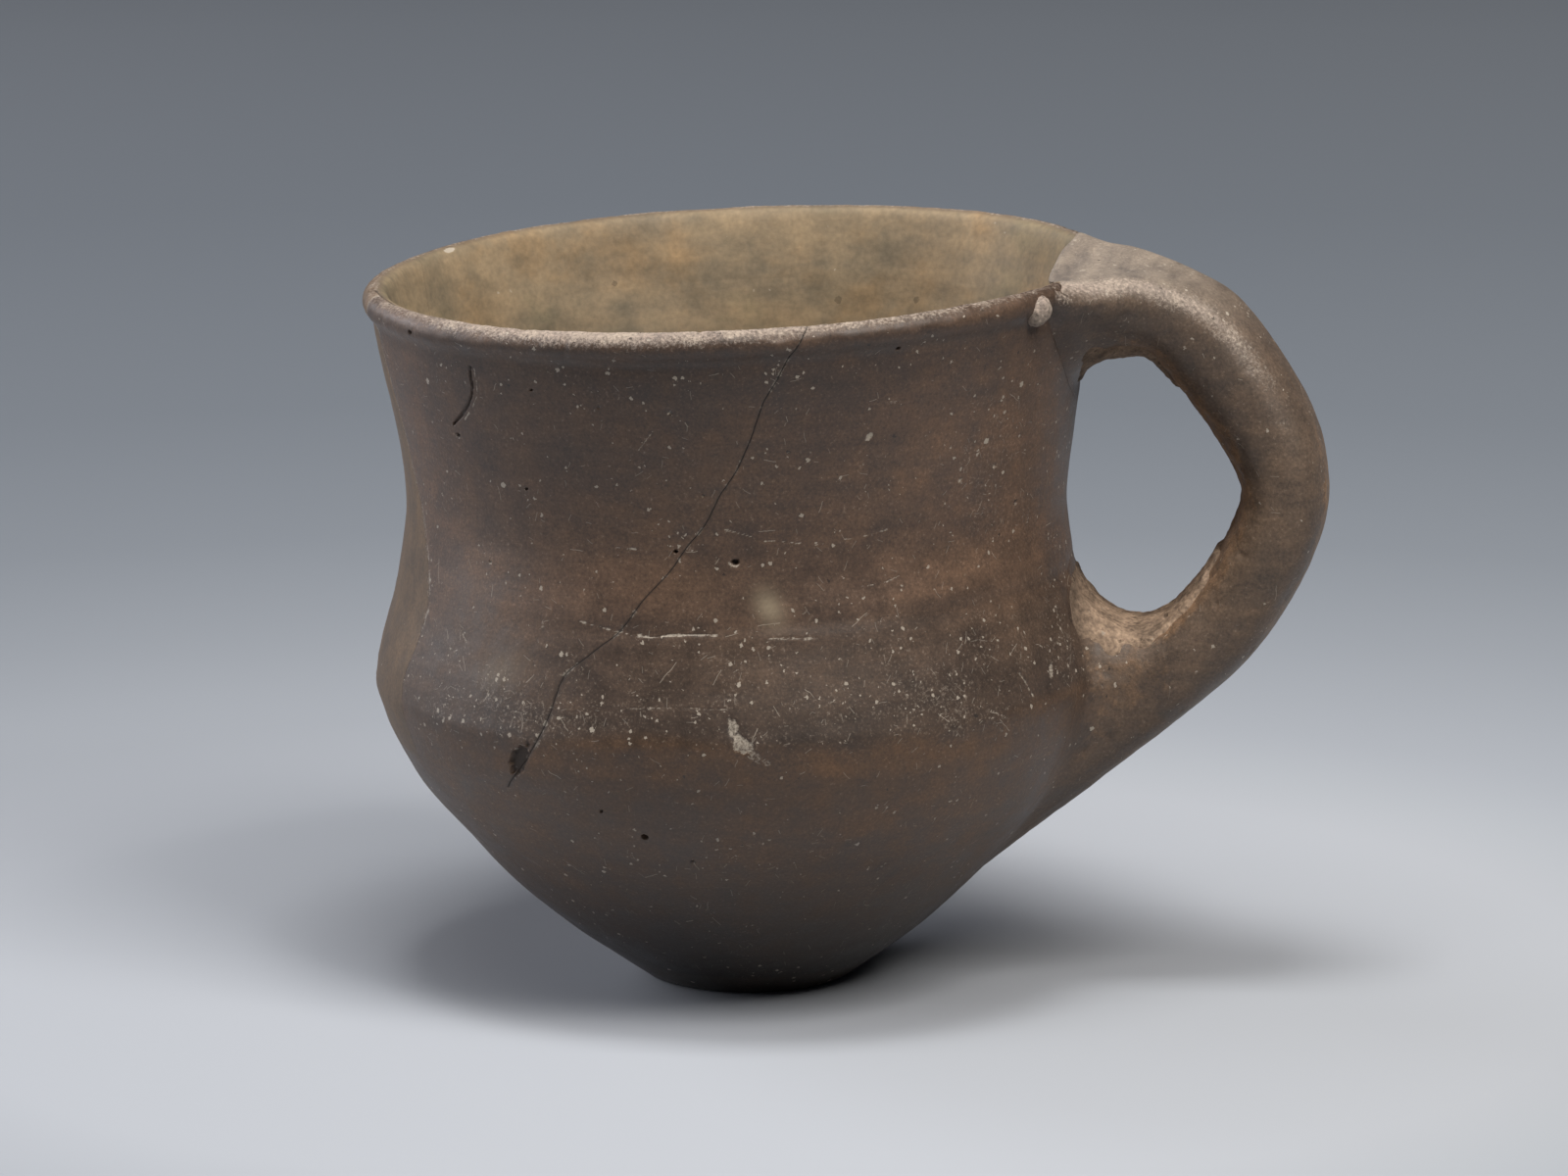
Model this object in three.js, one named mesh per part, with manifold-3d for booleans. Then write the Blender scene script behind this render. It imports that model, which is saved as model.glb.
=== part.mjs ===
// A small hand-built drinking cup of burnished earthenware with a pierced floor that strains what
// is poured through it, a rolled rim, and a strap handle looped from the rim down to the belly.
// The potter made it from a foot disc, three coils, a rim roll, a strap and lumps of luting clay.
// It once broke: the front piece is stuck back along a crack, and a toned fill closes the gap
// behind it. Millimetres, +Z up. The origin is the middle of the foot, on the surface that the
// cup stands on, and the handle is on +X. All pieces are drawn upright and then leaned together.

import * as THREE from 'three';
import { mergeVertices } from 'three/addons/utils/BufferGeometryUtils.js';
import Module from 'manifold-3d';

const wasm = await Module();
wasm.setup();

// Outside of the pot: radius where its curve turns, and the rise to there from the turn below
const footRadius = 15.5;
const lowerConeRadius = 27.6;
const lowerConeRise = 9;
const upperConeRadius = 40.7;
const upperConeRise = 12.5;
const underBellyRadius = 50.3;
const underBellyRise = 11.5;
const bellyRadius = 54.8;
const bellyRise = 12;
const underNeckRadius = 50.8;
const underNeckRise = 18;
const neckRadius = 49.3;
const neckRise = 11;
const lipRadius = 54.1;
const lipRise = 27.5;

// Rim bead: how far it stands proud of the lip and rises over it, and the arc that it is drawn on
const rimProud = 1.8;
const beadRise = 6.4;
const beadRadius = 2.3;
const beadStartAngle = -45;
const beadEndAngle = 78;

// Wall and floor
const wallThickness = 4.3;
const floorThickness = 5;

// Hand-made lean: the axis drifts and bows away from the handle, and the rim tilts up towards it
const axisLean = 0.019;
const axisBow = 0.9;
const rimTilt = 5.4;

// Joints between the potter's pieces, slanted through the wall: how far each is above a turn
const footSeamHeight = 3.6;
const bowlSeamRise = 5;
const bellySeamDrop = 3;
const neckSeamDrop = 1.5;
const scarfDrop = 3;
const seamGap = 0.36;
const crackGap = 0.42;
const seatGap = 0.3;

// Strainer holes, in rings round a solid middle
const strainerHoleDiameter = 2.2;
const strainerRingRadii = [5.2, 10];
const strainerRingCounts = [6, 12];

// Break: angle round the pot, in degrees from the handle, at fractions of the broken height
const crackAngles = [-123, -114, -105, -93.5, -84.5, -79, -73];
const sherdLeftAngles = [-148, -149.5, -146.5, -152, -157, -159.5, -162.5];
const panelFarAngles = [-176, -182, -180, -186, -190, -193, -198];

// Handle strap: its middle line, measured outwards from the rim and the belly and up or down from
// them, from its root inside the rim round to its heel inside the bowl
const rootInset = 8;
const rootDrop = 6;
const archOut = 9.5;
const archDrop = 8.3;
const shoulderOut = 18;
const shoulderDrop = 15.9;
const handleOut = 27.6;
const handleSag = 3;
const elbowOut = 20.3;
const elbowRise = 10.6;
const lowOut = 6.4;
const lowDrop = 0.4;
const heelInset = 7.5;
const heelDrop = 17.5;

// Handle strap: thickness and width of its section
const rootThickness = 9.5;
const archThickness = 13.6;
const strapThickness = 13.4;
const lowThickness = 14.2;
const rootWidth = 47;
const neckedWidth = 27;
const strapWidth = 21.5;
const lowWidth = 25;
const saddleDish = 1.2;
const sectionSquareness = 2.5;

// Lumps of clay worked into the corners of the handle, and the pellet where it leaves the rim
const lowerWadRise = 15.5;
const lowerWadFill = 3.6;
const lowerWadCrown = 1.6;
const lowerWadWidth = 19;
const upperWadDepth = 7;
const upperWadReach = 5;
const upperWadWidth = 30;
const lumpLayers = [[-1, 0.7], [-0.88, 0.88], [-0.6, 1], [0.6, 1], [0.88, 0.88], [1, 0.7]];
const pelletAngle = -27;
const pelletLength = 5.2;
const pelletDepth = 3.6;
const pelletDrop = 3.5;
const pelletProud = 0.7;

// Mesh fineness
const columnAngle = 7.5;
const bowlSteps = 9;
const bellySteps = 6;
const neckSteps = 7;
const rimWallSteps = 2;
const beadSteps = 6;
const envelopeSegments = 96;
const strapStations = 26;
const strapSides = 16;
const holeSides = 12;
const lumpCurveSteps = 8;

const burnishedBrown = new THREE.MeshStandardMaterial({ color: 0x56493f, roughness: 0.55 });
const darkBelly = new THREE.MeshStandardMaterial({ color: 0x453b36, roughness: 0.55 });
const coneBrown = new THREE.MeshStandardMaterial({ color: 0x4b4037, roughness: 0.5 });
const wornRim = new THREE.MeshStandardMaterial({ color: 0x8a7d72, roughness: 0.8 });
const handleGrey = new THREE.MeshStandardMaterial({ color: 0x5f554e, roughness: 0.6 });
const roughClay = new THREE.MeshStandardMaterial({ color: 0x9a7d66, roughness: 0.9 });
const tonedFill = new THREE.MeshStandardMaterial({ color: 0x6b5747, roughness: 0.75 });

// Heights over the foot that follow from the rises
const lowerConeHeight = lowerConeRise;
const upperConeHeight = lowerConeHeight + upperConeRise;
const underBellyHeight = upperConeHeight + underBellyRise;
const bellyHeight = underBellyHeight + bellyRise;
const underNeckHeight = bellyHeight + underNeckRise;
const neckHeight = underNeckHeight + neckRise;
const lipHeight = neckHeight + lipRise;
const rimHeight = lipHeight + beadRise;
const rimRadius = lipRadius + rimProud;
const bowlSeamHeight = underBellyHeight + bowlSeamRise;
const bellySeamHeight = underNeckHeight - bellySeamDrop;
const neckSeamHeight = lipHeight - neckSeamDrop;

// Smooth curve through points [height, value] that never overshoots between them
function smoothThrough(points) {
  const steps = points.slice(1).map((point, i) => point[0] - points[i][0]);
  const slopes = points.slice(1).map((point, i) => (point[1] - points[i][1]) / steps[i]);
  const tangents = points.map((point, i) => {
    if (i === 0) return slopes[0];
    if (i === points.length - 1) return slopes[i - 1];
    if (slopes[i - 1] * slopes[i] <= 0) return 0;
    const before = 2 * steps[i] + steps[i - 1];
    const after = steps[i] + 2 * steps[i - 1];
    return (before + after) / (before / slopes[i - 1] + after / slopes[i]);
  });
  return (at) => {
    const last = points.length - 2;
    let i = points.findIndex((point) => point[0] > at) - 1;
    if (i < 0) i = at < points[0][0] ? 0 : last;
    const t = (at - points[i][0]) / steps[i];
    const rise = steps[i];
    return (2 * t ** 3 - 3 * t ** 2 + 1) * points[i][1] + (t ** 3 - 2 * t ** 2 + t) * rise * tangents[i]
      + (3 * t ** 2 - 2 * t ** 3) * points[i + 1][1] + (t ** 3 - t ** 2) * rise * tangents[i + 1];
  };
}

// Straight lines through points [at, value]
function linesThrough(points) {
  return (at) => {
    let i = points.findIndex((point) => point[0] > at) - 1;
    if (i < 0) i = at < points[0][0] ? 0 : points.length - 2;
    const [from, to] = [points[i], points[i + 1]];
    return from[1] + (to[1] - from[1]) * (at - from[0]) / (to[0] - from[0]);
  };
}

const outsideRadius = smoothThrough([
  [0, footRadius],
  [lowerConeHeight, lowerConeRadius],
  [upperConeHeight, upperConeRadius],
  [underBellyHeight, underBellyRadius],
  [bellyHeight, bellyRadius],
  [underNeckHeight, underNeckRadius],
  [neckHeight, neckRadius],
  [lipHeight, lipRadius],
]);

// The wall keeps its thickness square to the outside, so it measures more across where it slopes
function insideRadius(height) {
  const step = 0.1;
  const slope = (outsideRadius(height + step) - outsideRadius(height - step)) / (2 * step);
  return outsideRadius(height) - wallThickness * Math.hypot(1, slope);
}

const insideHeight = linesThrough([
  [footSeamHeight, floorThickness],
  [bowlSeamHeight, bowlSeamHeight - scarfDrop],
  [neckSeamHeight, neckSeamHeight - scarfDrop],
  [rimHeight, rimHeight - scarfDrop],
]);

// One row across the wall: its outer and inner point, each [radius, height]
function wallRow(height) {
  const inner = insideHeight(height);
  return { outer: [outsideRadius(height), height], inner: [insideRadius(inner), inner] };
}

function beadRow(angle) {
  const turn = THREE.MathUtils.degToRad(angle);
  const middle = [rimRadius - beadRadius, rimHeight - beadRadius];
  const across = beadRadius * Math.cos(turn);
  const height = middle[1] + beadRadius * Math.sin(turn);
  return { outer: [middle[0] + across, height], inner: [middle[0] - across, height] };
}

function rowsBetween(low, high, steps) {
  return Array.from({ length: steps + 1 }, (_, i) => wallRow(low + (high - low) * i / steps));
}

const half = seamGap / 2;
const bowlRows = rowsBetween(footSeamHeight + half, bowlSeamHeight - half, bowlSteps);
const bellyRows = rowsBetween(bowlSeamHeight + half, bellySeamHeight - half, bellySteps);
const neckRows = rowsBetween(bellySeamHeight + half, neckSeamHeight - half, neckSteps);
const rimRows = [
  ...rowsBetween(neckSeamHeight + half, lipHeight, rimWallSteps),
  ...Array.from({ length: beadSteps + 1 },
    (_, i) => beadRow(beadStartAngle + (beadEndAngle - beadStartAngle) * i / beadSteps)),
];

// Edges of the broken pieces, as angles in degrees at each height
function brokenEdge(angles) {
  const rise = rimHeight - bowlSeamHeight;
  const last = angles.length - 1;
  return linesThrough(angles.map((angle, i) => [bowlSeamHeight + rise * i / last, angle]));
}

const crackEdge = brokenEdge(crackAngles);
const sherdLeftEdge = brokenEdge(sherdLeftAngles);
const panelFarEdge = brokenEdge(panelFarAngles);

function closedGeometry(positions, triangles) {
  const geometry = new THREE.BufferGeometry();
  geometry.setAttribute('position', new THREE.Float32BufferAttribute(positions, 3));
  geometry.setIndex(triangles);
  return geometry;
}

// A band of wall between two edges, or a whole ring when it is given no edges
function wallPiece(rows, startEdge, endEdge) {
  const whole = !startEdge;
  const middle = rows[Math.floor(rows.length / 2)].outer[1];
  const span = whole ? 360 : endEdge(middle) - startEdge(middle);
  const columns = Math.ceil(span / columnAngle);
  const count = whole ? columns : columns + 1;
  const positions = [];
  for (const side of ['outer', 'inner']) {
    for (const row of rows) {
      const [radius, height] = row[side];
      const trim = THREE.MathUtils.radToDeg(crackGap / 2 / row.outer[0]);
      const start = whole ? 0 : startEdge(row.outer[1]) + trim;
      const end = whole ? 360 : endEdge(row.outer[1]) - trim;
      for (let i = 0; i < count; i += 1) {
        const turn = THREE.MathUtils.degToRad(start + (end - start) * i / columns);
        positions.push(radius * Math.cos(turn), radius * Math.sin(turn), height);
      }
    }
  }
  const inner = rows.length * count;
  const triangles = [];
  const quad = (a, b, c, d) => triangles.push(a, b, c, a, c, d);
  for (let j = 0; j < rows.length - 1; j += 1) {
    for (let i = 0; i < columns; i += 1) {
      const here = j * count + i;
      const next = j * count + (i + 1) % count;
      quad(here, next, next + count, here + count);
      quad(inner + here, inner + here + count, inner + next + count, inner + next);
    }
  }
  const top = (rows.length - 1) * count;
  for (let i = 0; i < columns; i += 1) {
    const next = (i + 1) % count;
    quad(inner + i, inner + next, next, i);
    quad(top + i, top + next, inner + top + next, inner + top + i);
  }
  for (let j = 0; !whole && j < rows.length - 1; j += 1) {
    const first = j * count;
    const last = first + columns;
    quad(first, first + count, inner + first + count, inner + first);
    quad(last, inner + last, inner + last + count, last + count);
  }
  return closedGeometry(positions, triangles);
}

function toSolid(geometry) {
  const bare = geometry.clone();
  bare.deleteAttribute('normal');
  bare.deleteAttribute('uv');
  const merged = mergeVertices(bare, 1e-4);
  return new wasm.Manifold(new wasm.Mesh({
    numProp: 3,
    vertProperties: new Float32Array(merged.attributes.position.array),
    triVerts: new Uint32Array(merged.index.array),
  }));
}

function toGeometry(solid) {
  const mesh = solid.getMesh();
  return closedGeometry(Array.from(mesh.vertProperties), Array.from(mesh.triVerts));
}

// A closed solid through rings of as many points each, with the same cap triangles at both ends
function loft(rings, cap) {
  const sides = rings[0].length;
  const triangles = [];
  for (let j = 0; j < rings.length - 1; j += 1) {
    for (let i = 0; i < sides; i += 1) {
      const here = j * sides + i;
      const next = j * sides + (i + 1) % sides;
      triangles.push(here, here + sides, next + sides, here, next + sides, next);
    }
  }
  const end = (rings.length - 1) * sides;
  for (const [a, b, c] of cap) triangles.push(a, b, c, end + a, end + c, end + b);
  return closedGeometry(rings.flat().flatMap((point) => point.toArray()), triangles);
}

// A lathe turned so that it stands on Z, from points [radius, height]
function turned(points, segments) {
  const profile = points.map(([radius, height]) => new THREE.Vector2(radius, height));
  const geometry = new THREE.LatheGeometry(profile, segments);
  geometry.rotateX(Math.PI / 2);
  return geometry;
}

// Everything inside the pot's outside, grown by the seat gap, and the space above its rim
function potEnvelope() {
  const margin = 20;
  const outside = [...bowlRows, ...bellyRows, ...neckRows, ...rimRows].map((row) => row.outer);
  const crest = outside[outside.length - 1];
  const points = [
    [0, -seatGap],
    [footRadius + seatGap, -seatGap],
    ...outside.map(([radius, height]) => [radius + seatGap, height]),
    [crest[0], crest[1] + seatGap],
    [crest[0], rimHeight + margin],
    [0, rimHeight + margin],
  ];
  return toSolid(turned(points, envelopeSegments));
}

// Strap handle: a rounded section drawn along a loop in the XZ plane
const lowHeight = bellyHeight - lowDrop;
const lowReach = bellyRadius + lowOut;
const heelHeight = bellyHeight - heelDrop;
const strapLine = new THREE.CatmullRomCurve3([
  new THREE.Vector3(rimRadius - rootInset, 0, rimHeight - rootDrop),
  new THREE.Vector3(rimRadius + archOut, 0, rimHeight - archDrop),
  new THREE.Vector3(rimRadius + shoulderOut, 0, rimHeight - shoulderDrop),
  new THREE.Vector3(bellyRadius + handleOut, 0, (rimHeight + bellyHeight) / 2 - handleSag),
  new THREE.Vector3(bellyRadius + elbowOut, 0, bellyHeight + elbowRise),
  new THREE.Vector3(lowReach, 0, lowHeight),
  new THREE.Vector3(outsideRadius(heelHeight) - heelInset, 0, heelHeight),
], false, 'centripetal');
const strapThicknessAt = smoothThrough([
  [0, rootThickness],
  [0.2, archThickness],
  [0.5, strapThickness],
  [0.8, lowThickness],
  [1, lowThickness],
]);
const strapWidthAt = smoothThrough([
  [0, rootWidth],
  [0.06, rootWidth],
  [0.13, neckedWidth],
  [0.24, strapWidth],
  [0.6, strapWidth],
  [0.85, lowWidth],
  [1, lowWidth],
]);
const saddleDishAt = linesThrough([[0, saddleDish], [0.1, saddleDish], [0.3, 0], [1, 0]]);

function strapSolid(grown) {
  const power = (value) => Math.sign(value) * Math.abs(value) ** (2 / sectionSquareness);
  const rings = [];
  for (let j = 0; j <= strapStations; j += 1) {
    const along = j / strapStations;
    const middle = strapLine.getPointAt(along);
    const tangent = strapLine.getTangentAt(along);
    const out = new THREE.Vector3(-tangent.z, 0, tangent.x);
    const depth = strapThicknessAt(along) / 2 + grown;
    const width = strapWidthAt(along) / 2 + grown;
    const ring = [];
    for (let i = 0; i < strapSides; i += 1) {
      const turn = -2 * Math.PI * i / strapSides;
      const across = width * power(Math.cos(turn));
      const proud = depth * power(Math.sin(turn));
      const dish = proud > 0 ? saddleDishAt(along) * (1 - (across / width) ** 2) : 0;
      const lift = proud - dish;
      ring.push(new THREE.Vector3(middle.x + out.x * lift, across, middle.z + out.z * lift));
    }
    rings.push(ring);
  }
  const cap = Array.from({ length: strapSides - 2 }, (_, i) => [0, i + 1, i + 2]);
  return toSolid(loft(rings, cap));
}

// A lump with a given side outline in XZ, as wide as given, drawn in towards both its sides
function lump(outline, width) {
  const points = outline.getPoints(lumpCurveSteps);
  if (THREE.ShapeUtils.isClockWise(points)) points.reverse();
  const middle = points.reduce((sum, point) => sum.add(point), new THREE.Vector2());
  middle.divideScalar(points.length);
  const rings = lumpLayers.map(([across, size]) => points.map((point) => {
    const drawn = point.clone().sub(middle).multiplyScalar(size).add(middle);
    return new THREE.Vector3(drawn.x, across * width / 2, drawn.y);
  }));
  const cap = THREE.ShapeUtils.triangulateShape(points, []);
  return toSolid(loft(rings, cap));
}

// Lower corner: from high on the neck, down a hollow curve, to the inside of the strap
function lowerWadOutline() {
  const bed = lowHeight - lowThickness / 2;
  const crown = lowHeight + lowThickness / 2 + lowerWadCrown;
  const wallTop = lowHeight + lowThickness / 2 + lowerWadRise;
  const outline = new THREE.Shape();
  outline.moveTo(outsideRadius(wallTop) - wallThickness, wallTop);
  outline.quadraticCurveTo(
    outsideRadius(crown) + lowerWadFill,
    crown,
    lowReach + lowThickness / 2,
    crown,
  );
  outline.lineTo(lowReach, lowHeight);
  outline.lineTo(outsideRadius(bed) - wallThickness, bed);
  return outline;
}

// Upper corner: from the underside of the arch, down a hollow curve, to the wall below the rim
function upperWadOutline() {
  const underside = rimHeight - archDrop - archThickness / 2;
  const wallLow = underside - upperWadDepth;
  const outline = new THREE.Shape();
  outline.moveTo(outsideRadius(wallLow) - wallThickness, wallLow);
  outline.lineTo(outsideRadius(wallLow) + seatGap, wallLow);
  outline.quadraticCurveTo(lipRadius, underside, lipRadius + upperWadReach, underside + seatGap);
  outline.lineTo(lipRadius + upperWadReach, underside + archThickness / 2);
  outline.lineTo(lipRadius - wallThickness, underside + archThickness / 2);
  return outline;
}

function pelletSolid() {
  const geometry = new THREE.SphereGeometry(1, 16, 10);
  geometry.scale(pelletDepth, pelletLength / 2, pelletLength / 2);
  geometry.translate(rimRadius + pelletProud - pelletDepth, 0, rimHeight - pelletDrop);
  geometry.rotateZ(THREE.MathUtils.degToRad(pelletAngle));
  return toSolid(geometry);
}

// Foot disc: it carries the strainer holes and ends in the slanted joint under the bowl
function strainerFloor() {
  const outerSeam = footSeamHeight - half;
  const innerSeam = floorThickness - half;
  const disc = toSolid(turned([
    [0, 0],
    [footRadius, 0],
    [outsideRadius(outerSeam / 2), outerSeam / 2],
    [outsideRadius(outerSeam), outerSeam],
    [insideRadius(floorThickness), innerSeam],
    [0, innerSeam],
  ], Math.round(360 / columnAngle)));
  let floor = disc;
  strainerRingRadii.forEach((radius, ring) => {
    const count = strainerRingCounts[ring];
    for (let i = 0; i < count; i += 1) {
      const turn = 2 * Math.PI * i / count;
      const pin = new THREE.CylinderGeometry(
        strainerHoleDiameter / 2,
        strainerHoleDiameter / 2,
        3 * floorThickness,
        holeSides,
      );
      pin.rotateX(Math.PI / 2);
      pin.translate(radius * Math.cos(turn), radius * Math.sin(turn), 0);
      floor = floor.subtract(toSolid(pin));
    }
  });
  return toGeometry(floor);
}

// Lean: every height drifts along X, and the rim end of every piece rises towards the handle
function leaned(geometry) {
  const place = geometry.attributes.position;
  for (let i = 0; i < place.count; i += 1) {
    const x = place.getX(i);
    const z = place.getZ(i);
    place.setX(i, x - axisLean * z - axisBow * Math.sin(Math.PI * z / rimHeight));
    place.setZ(i, z + rimTilt * (x / (2 * rimRadius)) * (z / rimHeight));
  }
  return geometry;
}

const cup = new THREE.Group();

function addPiece(name, geometry, material) {
  const flat = leaned(geometry).toNonIndexed();
  flat.computeVertexNormals();
  const mesh = new THREE.Mesh(flat, material);
  mesh.name = name;
  cup.add(mesh);
}

const envelope = potEnvelope();
const strap = strapSolid(0);
const strapRoom = strapSolid(seatGap);
const farEdge = (height) => panelFarEdge(height) + 360;

addPiece('strainer_floor', strainerFloor(), coneBrown);
addPiece('lower_bowl', wallPiece(bowlRows), coneBrown);
addPiece('belly_band', wallPiece(bellyRows, crackEdge, farEdge), darkBelly);
addPiece('neck_wall', wallPiece(neckRows, crackEdge, farEdge), burnishedBrown);
addPiece('rim_roll', wallPiece(rimRows, crackEdge, farEdge), wornRim);
const brokenRows = [...bellyRows, ...neckRows, ...rimRows];
addPiece('front_sherd', wallPiece(brokenRows, sherdLeftEdge, crackEdge), burnishedBrown);
addPiece('restored_panel', wallPiece(brokenRows, panelFarEdge, sherdLeftEdge), tonedFill);
addPiece('handle_strap', toGeometry(strap.subtract(envelope)), handleGrey);
const lowerWad = lump(lowerWadOutline(), lowerWadWidth).subtract(envelope).subtract(strapRoom);
addPiece('lower_luting_wad', toGeometry(lowerWad), roughClay);
const upperWad = lump(upperWadOutline(), upperWadWidth).subtract(envelope).subtract(strapRoom);
addPiece('upper_luting_wad', toGeometry(upperWad), roughClay);
const pellet = pelletSolid().subtract(envelope).subtract(strapRoom);
addPiece('rim_pellet', toGeometry(pellet), wornRim);

export default cup;
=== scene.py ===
"""Strainer cup of burnished earthenware, with its stage.

Laid out as a Blender add-on and run as a script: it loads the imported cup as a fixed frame, then
makes the clay pieces that stand for its parts. The shapes are worked out in millimetres on the
upright cup, with the foot on z = 0 and the handle on +X, then leaned and put in metres.
"""

import itertools
import math

import bpy
import numpy as np
from bpy.props import FloatProperty, FloatVectorProperty, IntProperty, PointerProperty
from mathutils import Matrix, Vector


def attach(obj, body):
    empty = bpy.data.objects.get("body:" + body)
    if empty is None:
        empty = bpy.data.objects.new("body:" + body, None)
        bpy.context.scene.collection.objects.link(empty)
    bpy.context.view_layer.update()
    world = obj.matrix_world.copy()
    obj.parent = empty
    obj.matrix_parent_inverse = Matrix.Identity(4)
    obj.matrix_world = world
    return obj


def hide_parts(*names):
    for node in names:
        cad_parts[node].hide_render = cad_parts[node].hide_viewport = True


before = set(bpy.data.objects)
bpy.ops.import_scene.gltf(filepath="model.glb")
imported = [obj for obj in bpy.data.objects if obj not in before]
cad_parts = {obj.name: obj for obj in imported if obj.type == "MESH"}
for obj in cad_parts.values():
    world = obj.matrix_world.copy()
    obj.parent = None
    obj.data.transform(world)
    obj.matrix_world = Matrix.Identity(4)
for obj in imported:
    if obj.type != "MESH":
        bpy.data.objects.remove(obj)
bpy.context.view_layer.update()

bl_info = {
    "name": "Strainer Cup",
    "version": (1, 0, 0),
    "blender": (4, 5, 0),
    "location": "View3D > Sidebar > Strainer Cup",
    "description": "Makes a mended, burnished earthenware strainer cup and its studio floor",
    "category": "Add Mesh",
}

MM = 0.001
CREST_HEIGHT = 107.9
LIP_HEIGHT = 101.5
# How its potter left the cup: the slope and bow of its axis, and how much higher the rim is at the
# handle than opposite it, across twice the rim's radius
AXIS_LEAN = 0.019
AXIS_BOW = 0.9
RIM_TILT = 5.4
RIM_RADIUS = 55.9
# Radius at which degrees round the wall are turned to millimetres along its skin, and back
SKIN_RADIUS = 52
# Height that the materials read as 1
FULL_HEIGHT = 110
# The camera: degrees round from the front and up, metres away, focal length in millimetres, and how
# far right and up of the foot it looks, in millimetres
CAMERA_AZIMUTH = 6.5
CAMERA_ELEVATION = 12.1
CAMERA_DISTANCE = 1.5
CAMERA_LENS = 227.8
CAMERA_RIGHT = 5.185
CAMERA_UP = 57.48

# Height on the outside of the wall, and on the inside at the same joint
INSIDE_HEIGHTS = ((0, 1.4), (3.6, 5), (38, 35), (100, 97), (107.9, 104.9))
FOOT_SEAM = 3.6
BOWL_SEAM = 38
BELLY_SEAM = 60
NECK_SEAM = 100
# Edges of the broken pieces: height, and degrees round from the handle
CRACK = (
    (36, -125), (38.8, -122.4), (46, -116), (50.1, -113.7), (55.8, -112), (59.4, -107.3), (62.8, -102.7),
    (67.8, -98.5), (72.2, -93.8), (75.2, -91.5), (78.2, -88.6), (83.8, -85), (87.8, -82.5), (92.2, -80.5),
    (97.1, -78.7), (101, -76.5), (105.5, -74), (112, -71.5),
)
SHERD_LEFT = (
    (36, -148), (38, -148), (49.6, -149.5), (61.3, -146.5), (73, -152), (84.6, -157), (96.3, -159.5),
    (107.9, -162.5), (112, -163),
)
PANEL_FAR = (
    (36, -176), (38, -176), (49.6, -182), (61.3, -180), (73, -186), (84.6, -190), (96.3, -193),
    (107.9, -198), (112, -199),
)

# Pinholes and pits: degrees, height, radius, depth, how pale the lip is
PITS = (
    (-99.7, 31.8, 0.55, 0.9, 0.1), (-57.6, 103.2, 0.34, 0.6, 0.0), (-83.2, 72.9, 0.62, 0.8, 0.9),
    (-116.8, 98.6, 0.25, 0.5, 0.0), (-93.3, 74.6, 0.34, 0.7, 0.5), (-135.0, 89.9, 0.42, 0.5, 0.8),
    (-120.5, 83.0, 0.3, 0.4, 0.8), (-106.3, 35.8, 0.34, 0.4, 0.0), (-92.2, 27.6, 0.34, 0.4, 0.0),
    (-142.0, 105.8, 0.5, 0.7, 0.2), (-34.0, 82.5, 0.42, 0.25, 0.9), (-42.0, 81.5, 0.36, 0.2, 0.9),
    (-88.5, 83.0, 0.3, 0.2, 0.7), (-27.0, 76.0, 0.4, 0.4, 0.6), (-93.5, 95.8, 0.3, 0.2, 0.9),
    (-105.0, 96.5, 0.3, 0.2, 0.6), (-129.5, 71.0, 0.3, 0.2, 0.9), (40.0, 57.0, 0.5, 0.7, 0.4),
    (118.0, 82.0, 0.45, 0.6, 0.5), (150.0, 48.0, 0.6, 0.5, 0.6), (75.0, 30.0, 0.5, 0.8, 0.1),
    (60.0, 96.0, 0.4, 0.5, 0.5), (165.0, 70.0, 0.4, 0.6, 0.4), (98.0, 64.0, 0.7, 0.3, 0.8),
    (20.0, 24.0, 0.5, 0.6, 0.1),
)
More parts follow.
